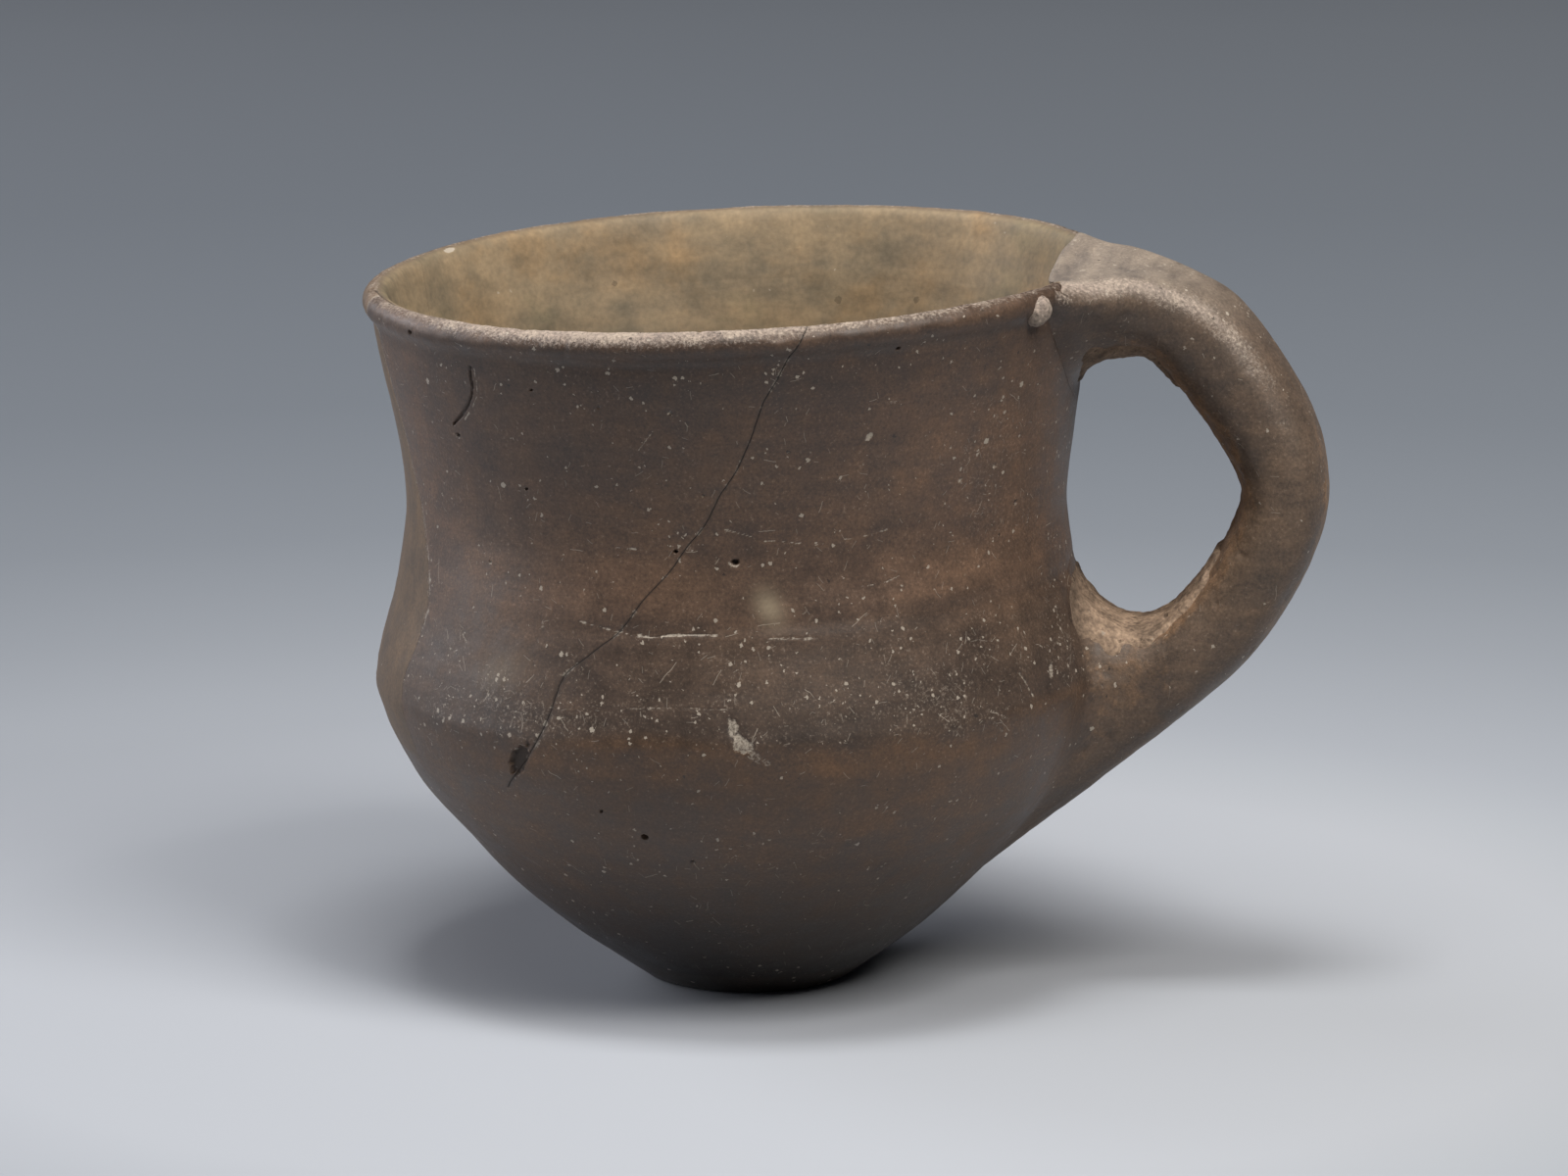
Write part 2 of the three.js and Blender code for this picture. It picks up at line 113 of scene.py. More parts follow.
# Cuts and scratches: width, depth, how pale, how dark, then degrees and height along each
CUTS = (
    (0.46, 0.4, 0.0, 0.46, ((-128.9, 101.2), (-129.1, 99.9), (-129.0, 98.3), (-129.6, 96.7),
                            (-130.8, 95.1), (-132.9, 93.3), (-135.6, 91.6))),
    (0.26, 0.03, 0.8, 0.0, ((-128.0, 100.9), (-127.9, 98.5), (-128.4, 96.6), (-129.9, 94.8), (-132.2, 92.7))),
    (0.3, 0.05, 0.85, 0.0, ((-109.8, 64.0), (-102.8, 62.8))),
    (0.42, 0.09, 1.0, 0.0, ((-102.8, 62.8), (-97.0, 62.2), (-93.0, 62.6), (-86.4, 62.5))),
    (0.3, 0.05, 0.75, 0.0, ((-77.8, 61.8), (-70.0, 61.5))),
    (0.22, 0.04, 0.6, 0.0, ((-100.0, 52.2), (-91.2, 52.3), (-82.8, 52.1))),
    (0.22, 0.06, 0.8, 0.0, ((-84.8, 77.8), (-81.5, 76.9), (-78.5, 75.9), (-75.5, 75.7), (-72.5, 75.2),
                            (-69.0, 74.8))),
    (0.2, 0.05, 0.75, 0.0, ((-64.8, 75.2), (-60.3, 75.4), (-56.2, 76.0))),
    (0.2, 0.05, 0.7, 0.0, ((-62.2, 68.3), (-58.0, 68.2), (-54.5, 69.0))),
    (0.24, 0.05, 0.8, 0.0, ((-103.8, 75.0), (-99.1, 74.8))),
    (0.16, 0.04, 0.6, 0.0, ((-99.0, 89.9), (-94.8, 94.7))),
    (0.16, 0.04, 0.6, 0.0, ((-37.5, 97.0), (-33.5, 99.0))),
    (0.16, 0.04, 0.5, 0.0, ((-29.5, 96.5), (-26.0, 98.6))),
    (0.34, 0.1, 0.85, 0.0, ((-135.3, 60.9), (-134.2, 59.6), (-133.1, 58.8))),
    (0.2, 0.04, 0.5, 0.0, ((-129.5, 53.5), (-124.0, 51.0))),
    (0.2, 0.05, 0.7, 0.0, ((-43.5, 47.2), (-40.0, 46.0), (-38.0, 44.6))),
    (0.2, 0.05, 0.7, 0.0, ((-41.5, 48.6), (-36.7, 46.2))),
    (0.2, 0.05, 0.7, 0.0, ((-48.5, 48.3), (-47.5, 45.6), (-48.6, 43.9))),
    (0.5, 0.2, 0.8, 0.0, ((-32.5, 52.1), (-31.0, 50.0), (-30.2, 48.4))),
    (0.2, 0.05, 0.6, 0.0, ((-23.0, 71.5), (-22.0, 74.5))),
    (0.2, 0.04, 0.6, 0.0, ((-25.5, 55.0), (-18.5, 47.0))),
    (0.2, 0.05, 0.6, 0.0, ((28.0, 72.0), (44.0, 70.5), (52.0, 71.5))),
    (0.24, 0.06, 0.7, 0.0, ((96.0, 88.0), (108.0, 84.5))),
    (0.2, 0.05, 0.6, 0.0, ((132.0, 58.0), (146.0, 57.0), (151.0, 55.0))),
    (0.3, 0.35, 0.1, 0.9, ((70.0, 52.0), (73.0, 49.0), (74.0, 46.5))),
    (0.8, 0.22, 0.3, 0.7, ((-168.0, 109.9), (-160.0, 110.6), (-153.5, 110.9))),
)
# Chips and smears: degrees, height, half length, half width, tilt, depth, pale, dark
CHIPS = (
    (-119.2, 43.2, 3.3, 1.45, 58, 0.6, 0.0, 0.9), (-83.9, 49.4, 1.8, 0.8, 92, 0.1, 0.66, 0.0),
    (-82.6, 47.0, 1.9, 1.3, 130, 0.14, 0.7, 0.0), (-80.4, 45.0, 2.2, 0.8, 148, 0.04, 0.46, 0.0),
    # (152.5, 112.2) is a small very pale spot on the far rim, with a shallow dip
    (152.5, 112.2, 1.5, 1.0, 0, 0.1, 1.6, 0.0), (-61.2, 90.3, 0.8, 0.6, 40, 0.1, 0.9, 0.0),
    (-57.2, 94.9, 1.5, 0.6, 170, 0.0, 0.5, 0.0), (-117.0, 63.0, 0.8, 0.5, 90, 0.0, 0.7, 0.0),
    (-24.0, 51.0, 1.2, 0.6, 60, 0.15, 0.7, 0.0),
    (-55.5, 24.9, 1.7, 0.9, 30, 0.0, 0.0, 0.5), (-51.9, 22.9, 1.4, 0.7, 30, 0.0, 0.0, 0.45),
    (64.0, 44.5, 2.6, 1.3, 30, 0.25, 0.9, 0.0), (128.0, 39.0, 2.2, 1.0, 150, 0.2, 0.8, 0.0),
    (24.0, 90.0, 1.6, 0.8, 20, 0.1, 0.6, 0.0),
    (-168.0, 41.0, 2.0, 0.9, 40, 0.2, 0.6, 0.0),
)
# Khaki smudges: degrees, height, half length, half width, tilt, strength
SMUDGES = (
    (-77.6, 66.2, 2.6, 1.6, 120, 0.95), (-124.5, 55.5, 4.0, 2.4, 20, 0.2), (86, 76, 3.0, 1.8, 70, 0.6),
    # Inside, warm patches left by the fire
    (29, 121, 8, 6, 0, 1.4), (62, 119, 9, 3.5, 10, 0.3), (92, 126, 12, 5, 0, 0.4), (118, 117, 8, 3, -8, 0.35),
    (150, 120, 6, 3, 0, 0.6), (160, 128, 8, 4, 0, 0.3),
)
# Broad smoke and wear, with painted shade and painted highlights: degrees, height, half length, half width,
# tilt, then how much darker or lighter
SMOKE_WEAR_AND_PAINTED_LIGHT = (
    # The first, a dark band under the bead, is painted shade
    (-77, 100, 42, 2.6, 0, -0.5), (-98, 91, 17, 9, 5, -0.25), (-103, 70, 10, 4.5, 0, 0.45),
    (-118, 67, 10, 4, 0, 0.2), (-80, 76, 14, 5, 5, -0.3), (-42, 68, 17, 3.5, 8, 0.5),
    (-50, 62.8, 18, 2.0, 10, -0.5), (-60, 50.5, 24, 4.5, 2, -0.4), (-74, 48, 10, 2.2, 0, -0.4),
    (-103, 43.5, 18, 2.8, 0, 0.4), (-84, 38.5, 20, 2.6, 0, -0.35), (-118, 35, 9, 4, -15, 0.15),
    # (-92, 15) darkens the foot: painted shade
    (-56, 31, 14, 6, 10, 0.2), (-92, 15, 34, 8, 0, -0.5), (-28, 86, 7, 12, 0, 0.35), (-50, 88, 9, 9, 0, 0.2),
    # (-141, 80) lightens the left flank: painted highlight
    (-141, 80, 9, 22, 0, 0.3), (-142, 55, 8, 8, 0, 0.25), (40, 80, 20, 7, 10, -0.35),
    (100, 60, 24, 6, 0, 0.3),
    # A painted highlight on the left flank, painted shade on the foot and low on the cone, a painted
    # highlight on the right of the neck, and inside the cool patches of the fire
    (-150, 88, 7, 24, -8, 1.1), (-152, 52, 6, 10, 0, 0.3), (-90, 5, 60, 9, 0, -1.5),
    (-150, 30, 16, 14, 0, -0.8), (-38, 84, 18, 16, 0, 0.8), (76, 121, 7, 5, 0, -0.3),
    (104, 119, 6, 6, 20, -0.15), (133, 124, 8, 6, 0, -0.35),
    (168, 119, 5, 5, 0, -0.2), (48, 127, 9, 4, 0, -0.3), (-110, 30, 18, 8, 0, -0.3),
    (150, 85, 16, 10, 0, -0.3), (170, 40, 18, 5, 0, 0.3), (70, 35, 20, 6, 0, -0.3), (85, 15, 34, 8, 0, -0.4),
)
# Where the skin is most worn and gritty: degrees, height, half length, half width, tilt, strength
GRITTY = (
    (-60, 50, 24, 6, 0, 0.38), (-104, 51, 9, 4, 0, 0.35), (-120, 50, 6, 4, 0, 0.25), (-36, 82, 9, 12, 0, 0.4),
    (-62, 84, 8, 6, 0, 0.2), (-96, 76, 8, 5, 0, 0.15), (60, 52, 26, 6, 0, 0.4), (150, 50, 20, 5, 0, 0.4),
)

# Middle line of the strap, x and z, then its thickness and width along it as shares of the full ones
STRAP_LINE = (
    (47.9, 101.9), (65.4, 99.9), (74.1, 92.0), (82.4, 73.45), (74.5, 55.8), (60.4, 43.7), (38.9, 25.5),
)
STRAP_THICKNESS = ((0, 0.7), (0.2, 1), (0.5, 0.985), (0.8, 1.04), (1, 1.04))
STRAP_WIDTH = ((0, 2.2), (0.06, 2.2), (0.13, 1.25), (0.24, 1), (0.6, 1), (0.85, 1.16), (1, 1.16))
# Where the strap's clay meets the wall: turn round the strap, degrees round the cup, and station
UPPER_ROOT = (
    (90, 0, 118.6), (112, -10, 117.0), (135, -19.0, 113.2), (157, -22.6, 110.2), (180, -26.0, 106.4),
    (202, -24.4, 101.6), (225, -17.5, 95.5), (247, -9, 89.8), (270, 0, 87.0),
)
LOWER_ROOT = (
    (90, 0, 13), (112, -10, 16), (135, -16.5, 24.5), (157, -18, 34), (180, -17, 45), (202, -14.5, 53),
    (225, -10.5, 60.5), (247, -5.5, 63.2), (270, 0, 64),
)
ROOT_MIDDLES = (101, 41)
# Rings of the strap between the rim and its arch: turn round the strap, then x, y and z
UPPER_CAGE = (
    ((90, 47.3, 0, 105.2), (112, 47.7, -10.2, 106.0), (135, 49.2, -17.0, 107.1), (157, 49.9, -21.2, 107.1),
     (180, 51.9, -22.6, 104.8), (202, 51.6, -20.0, 100.4), (225, 52.1, -13.2, 95.0), (247, 51.6, -7, 91.2),
     (270, 51.4, 0, 89.2)),
    ((90, 50.6, 0, 106.3), (112, 51.4, -10.2, 106.7), (135, 53.8, -15.4, 106.9), (157, 54.7, -18.2, 106.0),
     (180, 55.3, -19.6, 103.6), (202, 55.0, -16.8, 100.0), (225, 54.9, -11.4, 95.7), (247, 54.2, -6.2, 93.0),
     (270, 54.2, 0, 93.0)),
    ((90, 58.4, 0, 106.2), (112, 58.6, -8.4, 106.7), (135, 60.2, -12.3, 106.5), (157, 60.9, -14.2, 105.2),
     (180, 61.3, -14.7, 102.4), (202, 61.0, -13.2, 98.9), (225, 60.4, -9.6, 95.9), (247, 59.8, -5.4, 94.0),
     (270, 59.6, 0, 93.6)),
)
# How the strap's clay flows onto the belly: turn round it, pull along the wall, and hold along the strap
LOWER_FLOW = ((90, 0.25, 0.5), (135, 0.38, 0.4), (180, 0.44, 0.45), (225, 0.3, 0.67), (270, 0.3, 0.75))
# Torn edge of the lower wad: distance from the belly, and turn round the strap
LOWER_WAD_EDGE = ((0, 212), (4, 204), (8, 199), (13, 197), (18, 200), (23, 212), (30, 230), (40, 242))
UPPER_WAD_EDGE = ((0, 226), (6, 214), (16, 218), (24, 226), (34, 236))


def linear(code):
    """A colour for Blender from its sRGB hex code."""
    parts = [int(code[i:i + 2], 16) / 255 for i in (1, 3, 5)]
    return tuple(part / 12.92 if part <= 0.04045 else ((part + 0.055) / 1.055) ** 2.4 for part in parts)


def length(name, description, millimetres):
    return FloatProperty(name=name, description=description, default=millimetres * MM, min=0, precision=4,
                         unit="LENGTH")


def clay_colour(name, description, code):
    return FloatVectorProperty(name=name, description=description, default=linear(code), min=0, max=1,
                               subtype="COLOR")


class CupSizes(bpy.types.PropertyGroup):
    """Sizes of the cup's clay"""

    foot_radius: length("Foot Radius", "Radius of the cup's flat foot", 15.5)
    belly_radius: length("Belly Radius", "Widest radius of the belly", 54.8)
    neck_radius: length("Neck Radius", "Narrowest radius of the hollow neck", 49.3)
    wall_thickness: length("Wall Thickness", "Thickness of the wall, square to its face", 4.3)
    bead_radius: length("Bead Radius", "Radius of the rolled bead at the mouth", 2.3)
    strap_thickness: length("Strap Thickness", "Thickness of the handle's strap at its arch", 13.6)
    strap_width: length("Strap Width", "Width of the handle's strap", 21.5)
    crack_width: length("Crack Width", "Gap along the old break", 0.1)
    hole_radius: length("Hole Radius", "Radius of the strainer's holes", 1.1)
    inner_holes: IntProperty(name="Inner Holes", description="Holes in the inner ring", default=6, min=1)
    outer_holes: IntProperty(name="Outer Holes", description="Holes in the outer ring", default=12, min=1)


class CupColours(bpy.types.PropertyGroup):
    """Colours of the cup's clays"""

    burnished: clay_colour("Burnished Clay", "Rubbed outside of the neck", "#5e5046")
    belly: clay_colour("Belly", "Dark worn band round the belly", "#52473f")
    cone: clay_colour("Cone", "Outside of the bowl under the belly", "#5c4b3b")
    strap: clay_colour("Strap", "Rubbed sides of the handle", "#665c53")
    saddle: clay_colour("Saddle", "Flat top of the handle at the rim", "#8f867d")
    tan: clay_colour("Bare Tan Clay", "Unrubbed clay on the inner side of the strap", "#8e7359")
    rim: clay_colour("Worn Rim", "Pale gritty clay where the bead is rubbed through", "#beb0a3")
    grit: clay_colour("Grit", "Pale specks in the clay and its scratches", "#cdc1b0")
    inside: clay_colour("Inside", "Wiped inside of the wall", "#938a7d")
    ochre: clay_colour("Ochre", "Warmest patches inside", "#9f8562")
    green_grey: clay_colour("Green Grey", "Coolest patches inside", "#7f8371")
    khaki: clay_colour("Khaki", "Smudges on the burnished clay", "#a8977e")
    fill: clay_colour("Toned Fill", "Matt paint on the plaster fill", "#796a5b")
    rough: clay_colour("Rough Clay", "Unburnished luting clay in the corners", "#b19a85")


class CupStage(bpy.types.PropertyGroup):
    """Colours and lamps of the studio"""

    # The paper's colour in the painted pool of light round the cup, and in the darker painted falloff far
    # behind it
    paper_in_painted_light: clay_colour("Near Paper", "The floor round the cup", "#bdc2ca")
    paper_in_painted_falloff: clay_colour("Far Paper", "The floor far behind the cup", "#888f98")
    lamp_power: FloatProperty(name="Lamp Power", description="Share of the lamps' full power", default=1.0,
                              min=0, subtype="FACTOR")


def smooth_step(value, low, high):
    part = np.clip((value - low) / (high - low), 0, 1)
    return part * part * (3 - 2 * part)


def smooth_through(points):
    """A smooth curve through points (at, value) that never overshoots between them."""
    at, value = np.array(points, float).T
    step = np.diff(at)
    slope = np.diff(value) / step
    tangent = np.zeros(len(at))
    tangent[0] = slope[0]
    tangent[-1] = slope[-1]
    for i in range(1, len(at) - 1):
        if slope[i - 1] * slope[i] > 0:
            before = 2 * step[i] + step[i - 1]
            after = step[i] + 2 * step[i - 1]
            tangent[i] = (before + after) / (before / slope[i - 1] + after / slope[i])

    def curve(where):
        i = np.clip(np.searchsorted(at, where, side="right") - 1, 0, len(step) - 1)
        t = (where - at[i]) / step[i]
        start = (2 * t ** 3 - 3 * t ** 2 + 1) * value[i] + (t ** 3 - 2 * t ** 2 + t) * step[i] * tangent[i]
        return start + (3 * t ** 2 - 2 * t ** 3) * value[i + 1] + (t ** 3 - t ** 2) * step[i] * tangent[i + 1]

    return curve


def clay_noise(points, size, seed):
    """Smooth noise from -1 to 1 at each point, with lumps about as large as size."""
    spots = np.asarray(points) / size + seed * 7.31
    cells = np.floor(spots).astype(np.int64)
    part = spots - cells
    part = part * part * (3 - 2 * part)
    total = np.zeros(len(spots))
    for corner in itertools.product((0, 1), repeat=3):
        x, y, z = (cells + corner).T
        code = (x * 73856093) ^ (y * 19349663) ^ (z * 83492791) ^ (seed * 2654435761)
        code = ((code ^ (code >> 13)) * 1274126177) & 0xFFFFFFFF
        value = ((code ^ (code >> 16)) & 0xFFFF) / 32767.5 - 1
        weight = np.prod(np.where(corner, part, 1 - part), axis=1)
        total += value * weight
    return total


def flow_through(at, values, where):
    """A smooth curve through rows of values, each row at its own place along at."""
    at = np.asarray(at, float)
    values = np.asarray(values, float)
    slope = np.gradient(values, at, axis=0)
    i = np.clip(np.searchsorted(at, where, side="right") - 1, 0, len(at) - 2)
    shape = (-1,) + (1,) * (values.ndim - 1)
    step = (at[i + 1] - at[i]).reshape(shape)
    t = (np.asarray(where) - at[i]).reshape(shape) / step
    start = (2 * t ** 3 - 3 * t ** 2 + 1) * values[i] + (t ** 3 - 2 * t ** 2 + t) * step * slope[i]
    return start + (3 * t ** 2 - 2 * t ** 3) * values[i + 1] + (t ** 3 - t ** 2) * step * slope[i + 1]


def round_the_strap(keys, turns, flip=0):
    """Values at turns round the strap, from keys for its near half.

    Column flip, if it isn't 0, changes sign on the far half.
    """
    near = np.array(keys, float)
    far = near[-2:0:-1].copy()
    far[:, 0] = 540 - far[:, 0]
    if flip:
        far[:, flip] *= -1
    loop = np.vstack([near, far])
    turn_back = np.zeros(loop.shape[1])
    turn_back[0] = 360
    loop = np.vstack([loop[-3:] - turn_back, loop, loop[:3] + turn_back])
    where = (np.asarray(turns, float) - 90) % 360 + 90
    return flow_through(loop[:, 0], loop[:, 1:], where)


def degrees_apart(angle, other):
    return (angle - other + 180) % 360 - 180


def leaned(points):
    """Leans the upright cup as its potter left it, and puts it in metres."""
    x, y, z = points.T
    drifted = x - AXIS_LEAN * z - AXIS_BOW * np.sin(math.pi * z / CREST_HEIGHT)
    raised = z + RIM_TILT * (x / (2 * RIM_RADIUS)) * (z / CREST_HEIGHT)
    return np.column_stack([drifted, y, raised]) * MM


class Pot:
    """The cup's wall in numbers: where its clay is at any angle and station.

    A station is a height on the outside of the wall up to the lip, then goes round the bead to its
    crest, and past the crest it runs down the inside as far as it had come up.
    """

    def __init__(self, sizes):
        foot, belly, neck, thickness, bead = (
            value / MM for value in (sizes.foot_radius, sizes.belly_radius, sizes.neck_radius,
                                     sizes.wall_thickness, sizes.bead_radius)
        )
        self.foot = foot
        self.half_crack = sizes.crack_width / MM / 2
        # Height and radius of each turn of the outside
        self.radius = smooth_through((
            (0, foot), (9, foot + 12.1), (21.5, belly - 14.1), (33, belly - 4.5), (45, belly),
            (63, neck + 1.5), (74, neck), (LIP_HEIGHT, 54.1),
        ))
        self.lip = LIP_HEIGHT
        heights = np.arange(0, self.lip + 0.1, 0.25)
        inside = np.interp(heights, *np.array(INSIDE_HEIGHTS, float).T)
        slope = (self.radius(inside + 0.1) - self.radius(inside - 0.1)) / 0.2
        outer = np.column_stack([self.radius(heights), heights])
        inner = np.column_stack([self.radius(inside) - thickness * np.hypot(1, slope), inside])
        middle = np.array([53.6, CREST_HEIGHT - bead])
        out_turn = np.radians(np.linspace(-62, 90, 60))
        in_turn = np.radians(np.linspace(172, 90, 60))
        outer_bead = middle + bead * np.column_stack([np.cos(out_turn), np.sin(out_turn)])
        inner_bead = middle + bead * np.column_stack([np.cos(in_turn), np.sin(in_turn)])
        outer = np.vstack([outer, [[54.2, 102.7]], outer_bead])
        inner = np.vstack([inner, [[50.2, 102.2]], inner_bead])
        run = np.hypot(*np.diff(outer[len(heights) - 1:], axis=0).T)
        self.crest = self.lip + run.sum()
        at = np.concatenate([heights, self.lip + np.cumsum(run)])
        self.at = np.arange(0, self.crest + 0.05, 0.1)
        self.at[-1] = self.crest
        self.sides = []
        for path, out, passes in ((outer, 1, 40), (inner, -1, 260)):
            table = np.column_stack([np.interp(self.at, at, column) for column in path.T])
            for _ in range(passes):
                table[1:-1] = (table[:-2] + 2 * table[1:-1] + table[2:]) / 4
            along = np.gradient(table, self.at, axis=0)
            normal = out * np.column_stack([along[:, 1], -along[:, 0]])
            normal /= np.hypot(*normal.T)[:, None]
            normal[-1] = (0, 1)
            self.sides.append(np.hstack([table, normal]))
        self.crack_line = smooth_through(CRACK)
        self.sherd_line = smooth_through(SHERD_LEFT)
        self.panel_line = smooth_through(PANEL_FAR)
        self.roots = []
        for keys, middle_station in zip((UPPER_ROOT, LOWER_ROOT), ROOT_MIDDLES):
            angle, station = round_the_strap(keys, np.arange(0, 360, 3), 1).T
            across = np.radians(angle) * self.wall_radius(station)
            up = station - middle_station
            order = np.argsort(np.arctan2(up, across))
            polar = np.arctan2(up, across)[order]
            self.roots.append((middle_station, polar, np.hypot(across, up)[order]))

    def wall_radius(self, station):
        station = np.where(station > self.crest, 2 * self.crest - station, station)
        return np.interp(station, self.at, self.sides[0][:, 0])

    def clay(self, angle, station):
        """Points of the smooth wall and the way out of the clay at each."""
        past = station > self.crest
        where = np.where(past, 2 * self.crest - station, station)
        outer, inner = (
            np.column_stack([np.interp(where, self.at, column) for column in side.T]) for side in self.sides
        )
        row = np.where(past[:, None], inner, outer)
        turn = np.radians(angle)
        points = np.column_stack([row[:, 0] * np.cos(turn), row[:, 0] * np.sin(turn), row[:, 1]])
        normals = np.column_stack([row[:, 2] * np.cos(turn), row[:, 2] * np.sin(turn), row[:, 3]])
        return points, normals

    def jagged(self, line, station, fine, broad):
        """A broken edge in degrees: its drawn line, roughened by some tenths of a millimetre."""
        spots = np.column_stack([station, np.zeros_like(station), np.zeros_like(station)])
        rough = fine * clay_noise(spots, 0.9, 11) + broad * clay_noise(spots, 4.5, 12)
        return line(station) + np.degrees(rough / SKIN_RADIUS)

    def crack(self, station):
        return self.jagged(self.crack_line, station, 0.1, 0.25)

    def sherd_left(self, station):
        return self.jagged(self.sherd_line, station, 0.1, 0.5)

    def panel_far(self, station):
        return self.jagged(self.panel_line, station, 0.1, 0.5)

    def edge(self, line, side, outer_gap, inner_gap, turns=0):
        """An edge of a broken piece, drawn back from the break by its half gap outside and inside."""
        def at(station, inside):
            gap = np.where(inside, inner_gap, outer_gap)
            return line(station) + turns * 360 + side * np.degrees(gap / SKIN_RADIUS)

        return at

    def root_share(self, angle, station, which):
        """0 at the middle of where the strap meets the wall, 1 at the edge of its clay, more outside."""
        middle, polar, reach = self.roots[which]
        across = np.radians(degrees_apart(angle, 0)) * self.wall_radius(station)
        up = station - middle
        edge = np.interp(np.arctan2(up, across), polar, reach, period=2 * math.pi)
        return np.hypot(across, up) / edge

    def off_cut(self, angle, station, path):
        """How far each place on the outside is from a cut, in millimetres."""
        scale = np.radians(1) * self.wall_radius(station)
        away = np.full(len(angle), 99.0)
        for (from_angle, from_height), (to_angle, to_height) in zip(path, path[1:]):
            climb = np.full(len(angle), to_height - from_height)
            run = np.column_stack([(to_angle - from_angle) * scale, climb])
            off = np.column_stack([degrees_apart(angle, from_angle) * scale, station - from_height])
            part = np.clip((run * off).sum(axis=1) / (run ** 2).sum(axis=1), 0, 1)
            away = np.minimum(away, np.hypot(*(off - run * part[:, None]).T))
        return away

    def off_chip(self, angle, station, place, height, half_length, half_width, tilt):
        """Where each place is in a chip: along and across it, as shares of its half length and width."""
        across = degrees_apart(angle, place) * np.radians(1) * self.wall_radius(station)
        up = station - height
        turn = math.radians(tilt)
        along = (across * math.cos(turn) + up * math.sin(turn)) / half_length
        over = (up * math.cos(turn) - across * math.sin(turn)) / half_width
        return along, over

    def soft_patches(self, angle, station, shapes):
        """The sum of soft patches at each place, each a shape with its strength."""
        total = np.zeros(len(angle))
        for *shape, strength in shapes:
            along, over = self.off_chip(angle, station, *shape)
            total += strength * np.exp(-along ** 2 - over ** 2)
        return total

    def near_a_mark(self, angle, station, reach):
        """Whether a place on the outside is within reach of a pit, cut or chip, in millimetres."""
        scale = np.radians(1) * self.wall_radius(station)
        found = np.zeros(len(angle), bool)
        for place, height, size, *_ in PITS:
            found |= np.hypot(degrees_apart(angle, place) * scale, station - height) < size + reach
        for width, _, _, _, path in CUTS:
            found |= self.off_cut(angle, station, path) < width / 2 + reach
        for *shape, depth, _, _ in CHIPS:
            along, over = self.off_chip(angle, station, *shape)
            grown = 1.25 + reach / shape[3]
            found |= (depth > 0) & (abs(along) < 1.25 + reach / shape[2]) & (abs(over) < grown)
        return found

    def marks(self, points, angle, station):
        """Depth, paleness and darkness of the pits, cuts, chips and the crack at each point."""
        lift = np.zeros(len(angle))
        pale = np.zeros(len(angle))
        dark = np.zeros(len(angle))
        scale = np.radians(1) * self.wall_radius(station)
        wobble = clay_noise(points, 1.4, 21)
        ragged = clay_noise(points, 0.55, 22)

        def close_to(place, height, reach):
            beside = abs(degrees_apart(angle, place)) * scale < reach
            return np.flatnonzero(beside & (abs(station - height) < reach))

        for place, height, size, depth, lip in PITS:
            near = close_to(place, height, 4)
            across = degrees_apart(angle[near], place) * scale[near]
            up = station[near] - height
            away = np.hypot(across, up * 1.25) * (1 + 0.18 * wobble[near])
            hollow = 1 - smooth_step(away, 0.5 * size, 1.15 * size)
            lift[near] -= depth * hollow
            shade = 1 - 0.9 * lip if depth < 0.3 else 1
            dark[near] = np.maximum(dark[near], shade * (1 - smooth_step(away, 0.55 * size, 1.0 * size)))
            rim = np.exp(-((away - 1.2 * size) / (0.36 * size)) ** 2)
            rim *= smooth_step(-up - 0.3 * across, -0.3, 0.5)
            pale[near] = np.maximum(pale[near], lip * np.maximum(rim, hollow if depth < 0.3 else 0))
        for width, depth, paleness, darkness, path in CUTS:
            middle = np.mean(path, axis=0)
            near = close_to(*middle, np.ptp(np.array(path), axis=0).max() + 2)
            away = self.off_cut(angle[near], station[near], path) + 0.14 * wobble[near] * (1 - darkness)
            line = 1 - smooth_step(away, 0.25 * width, 0.62 * width)
            broken = 1 if darkness else smooth_step(ragged[near] + wobble[near], -0.9, -0.2)
            lift[near] -= depth * line * broken
            pale[near] = np.maximum(pale[near], paleness * line * broken)
            dark[near] = np.maximum(dark[near], darkness * line)
        for *shape, depth, paleness, darkness in CHIPS:
            near = close_to(shape[0], shape[1], 8)
            share = np.hypot(*self.off_chip(angle[near], station[near], *shape))
            share += 0.24 * wobble[near] + 0.2 * ragged[near]
            soft = 0.4 if depth == 0 else 0.14
            inside = 1 - smooth_step(share, 0.9 - soft, 0.9 + soft)
            lift[near] -= depth * inside
            pale[near] = np.maximum(pale[near], paleness * inside)
            dark[near] = np.maximum(dark[near], darkness * inside)
        broken = (station > BOWL_SEAM) & (station < self.crest + 60)
        climbed = np.minimum(station, 2 * self.crest - station)
        away = abs(degrees_apart(angle, self.crack(climbed))) * scale
        away *= np.interp(climbed, (48, 80), (0.45, 1))
        lips = np.where(broken, np.exp(-away / 0.16), 0) * (0.35 + 0.65 * smooth_step(wobble, -0.2, 0.7))
        lift -= 0.07 * lips
        chips = np.where(broken, np.exp(-(away / 0.34) ** 2), 0)
        chips *= smooth_step(wobble + 0.6 * ragged, 0.2, 0.7)
        pale = np.maximum(pale, 0.75 * chips)
        dark = np.maximum(dark, np.where(broken, 0.9 * np.exp(-(away / 0.18) ** 2), 0))
        away = abs(degrees_apart(angle, self.sherd_left(climbed))) * scale
        line = np.exp(-((away - 0.3) / 0.4) ** 2) * smooth_step(wobble + 0.5 * ragged, -0.8, 0.1)
        line *= np.interp(station, (40, 52, 62, 108), (0, 0.25, 0.75, 0.75))
        pale = np.maximum(pale, np.where(station < self.crest, line, 0))
        return lift, pale, dark

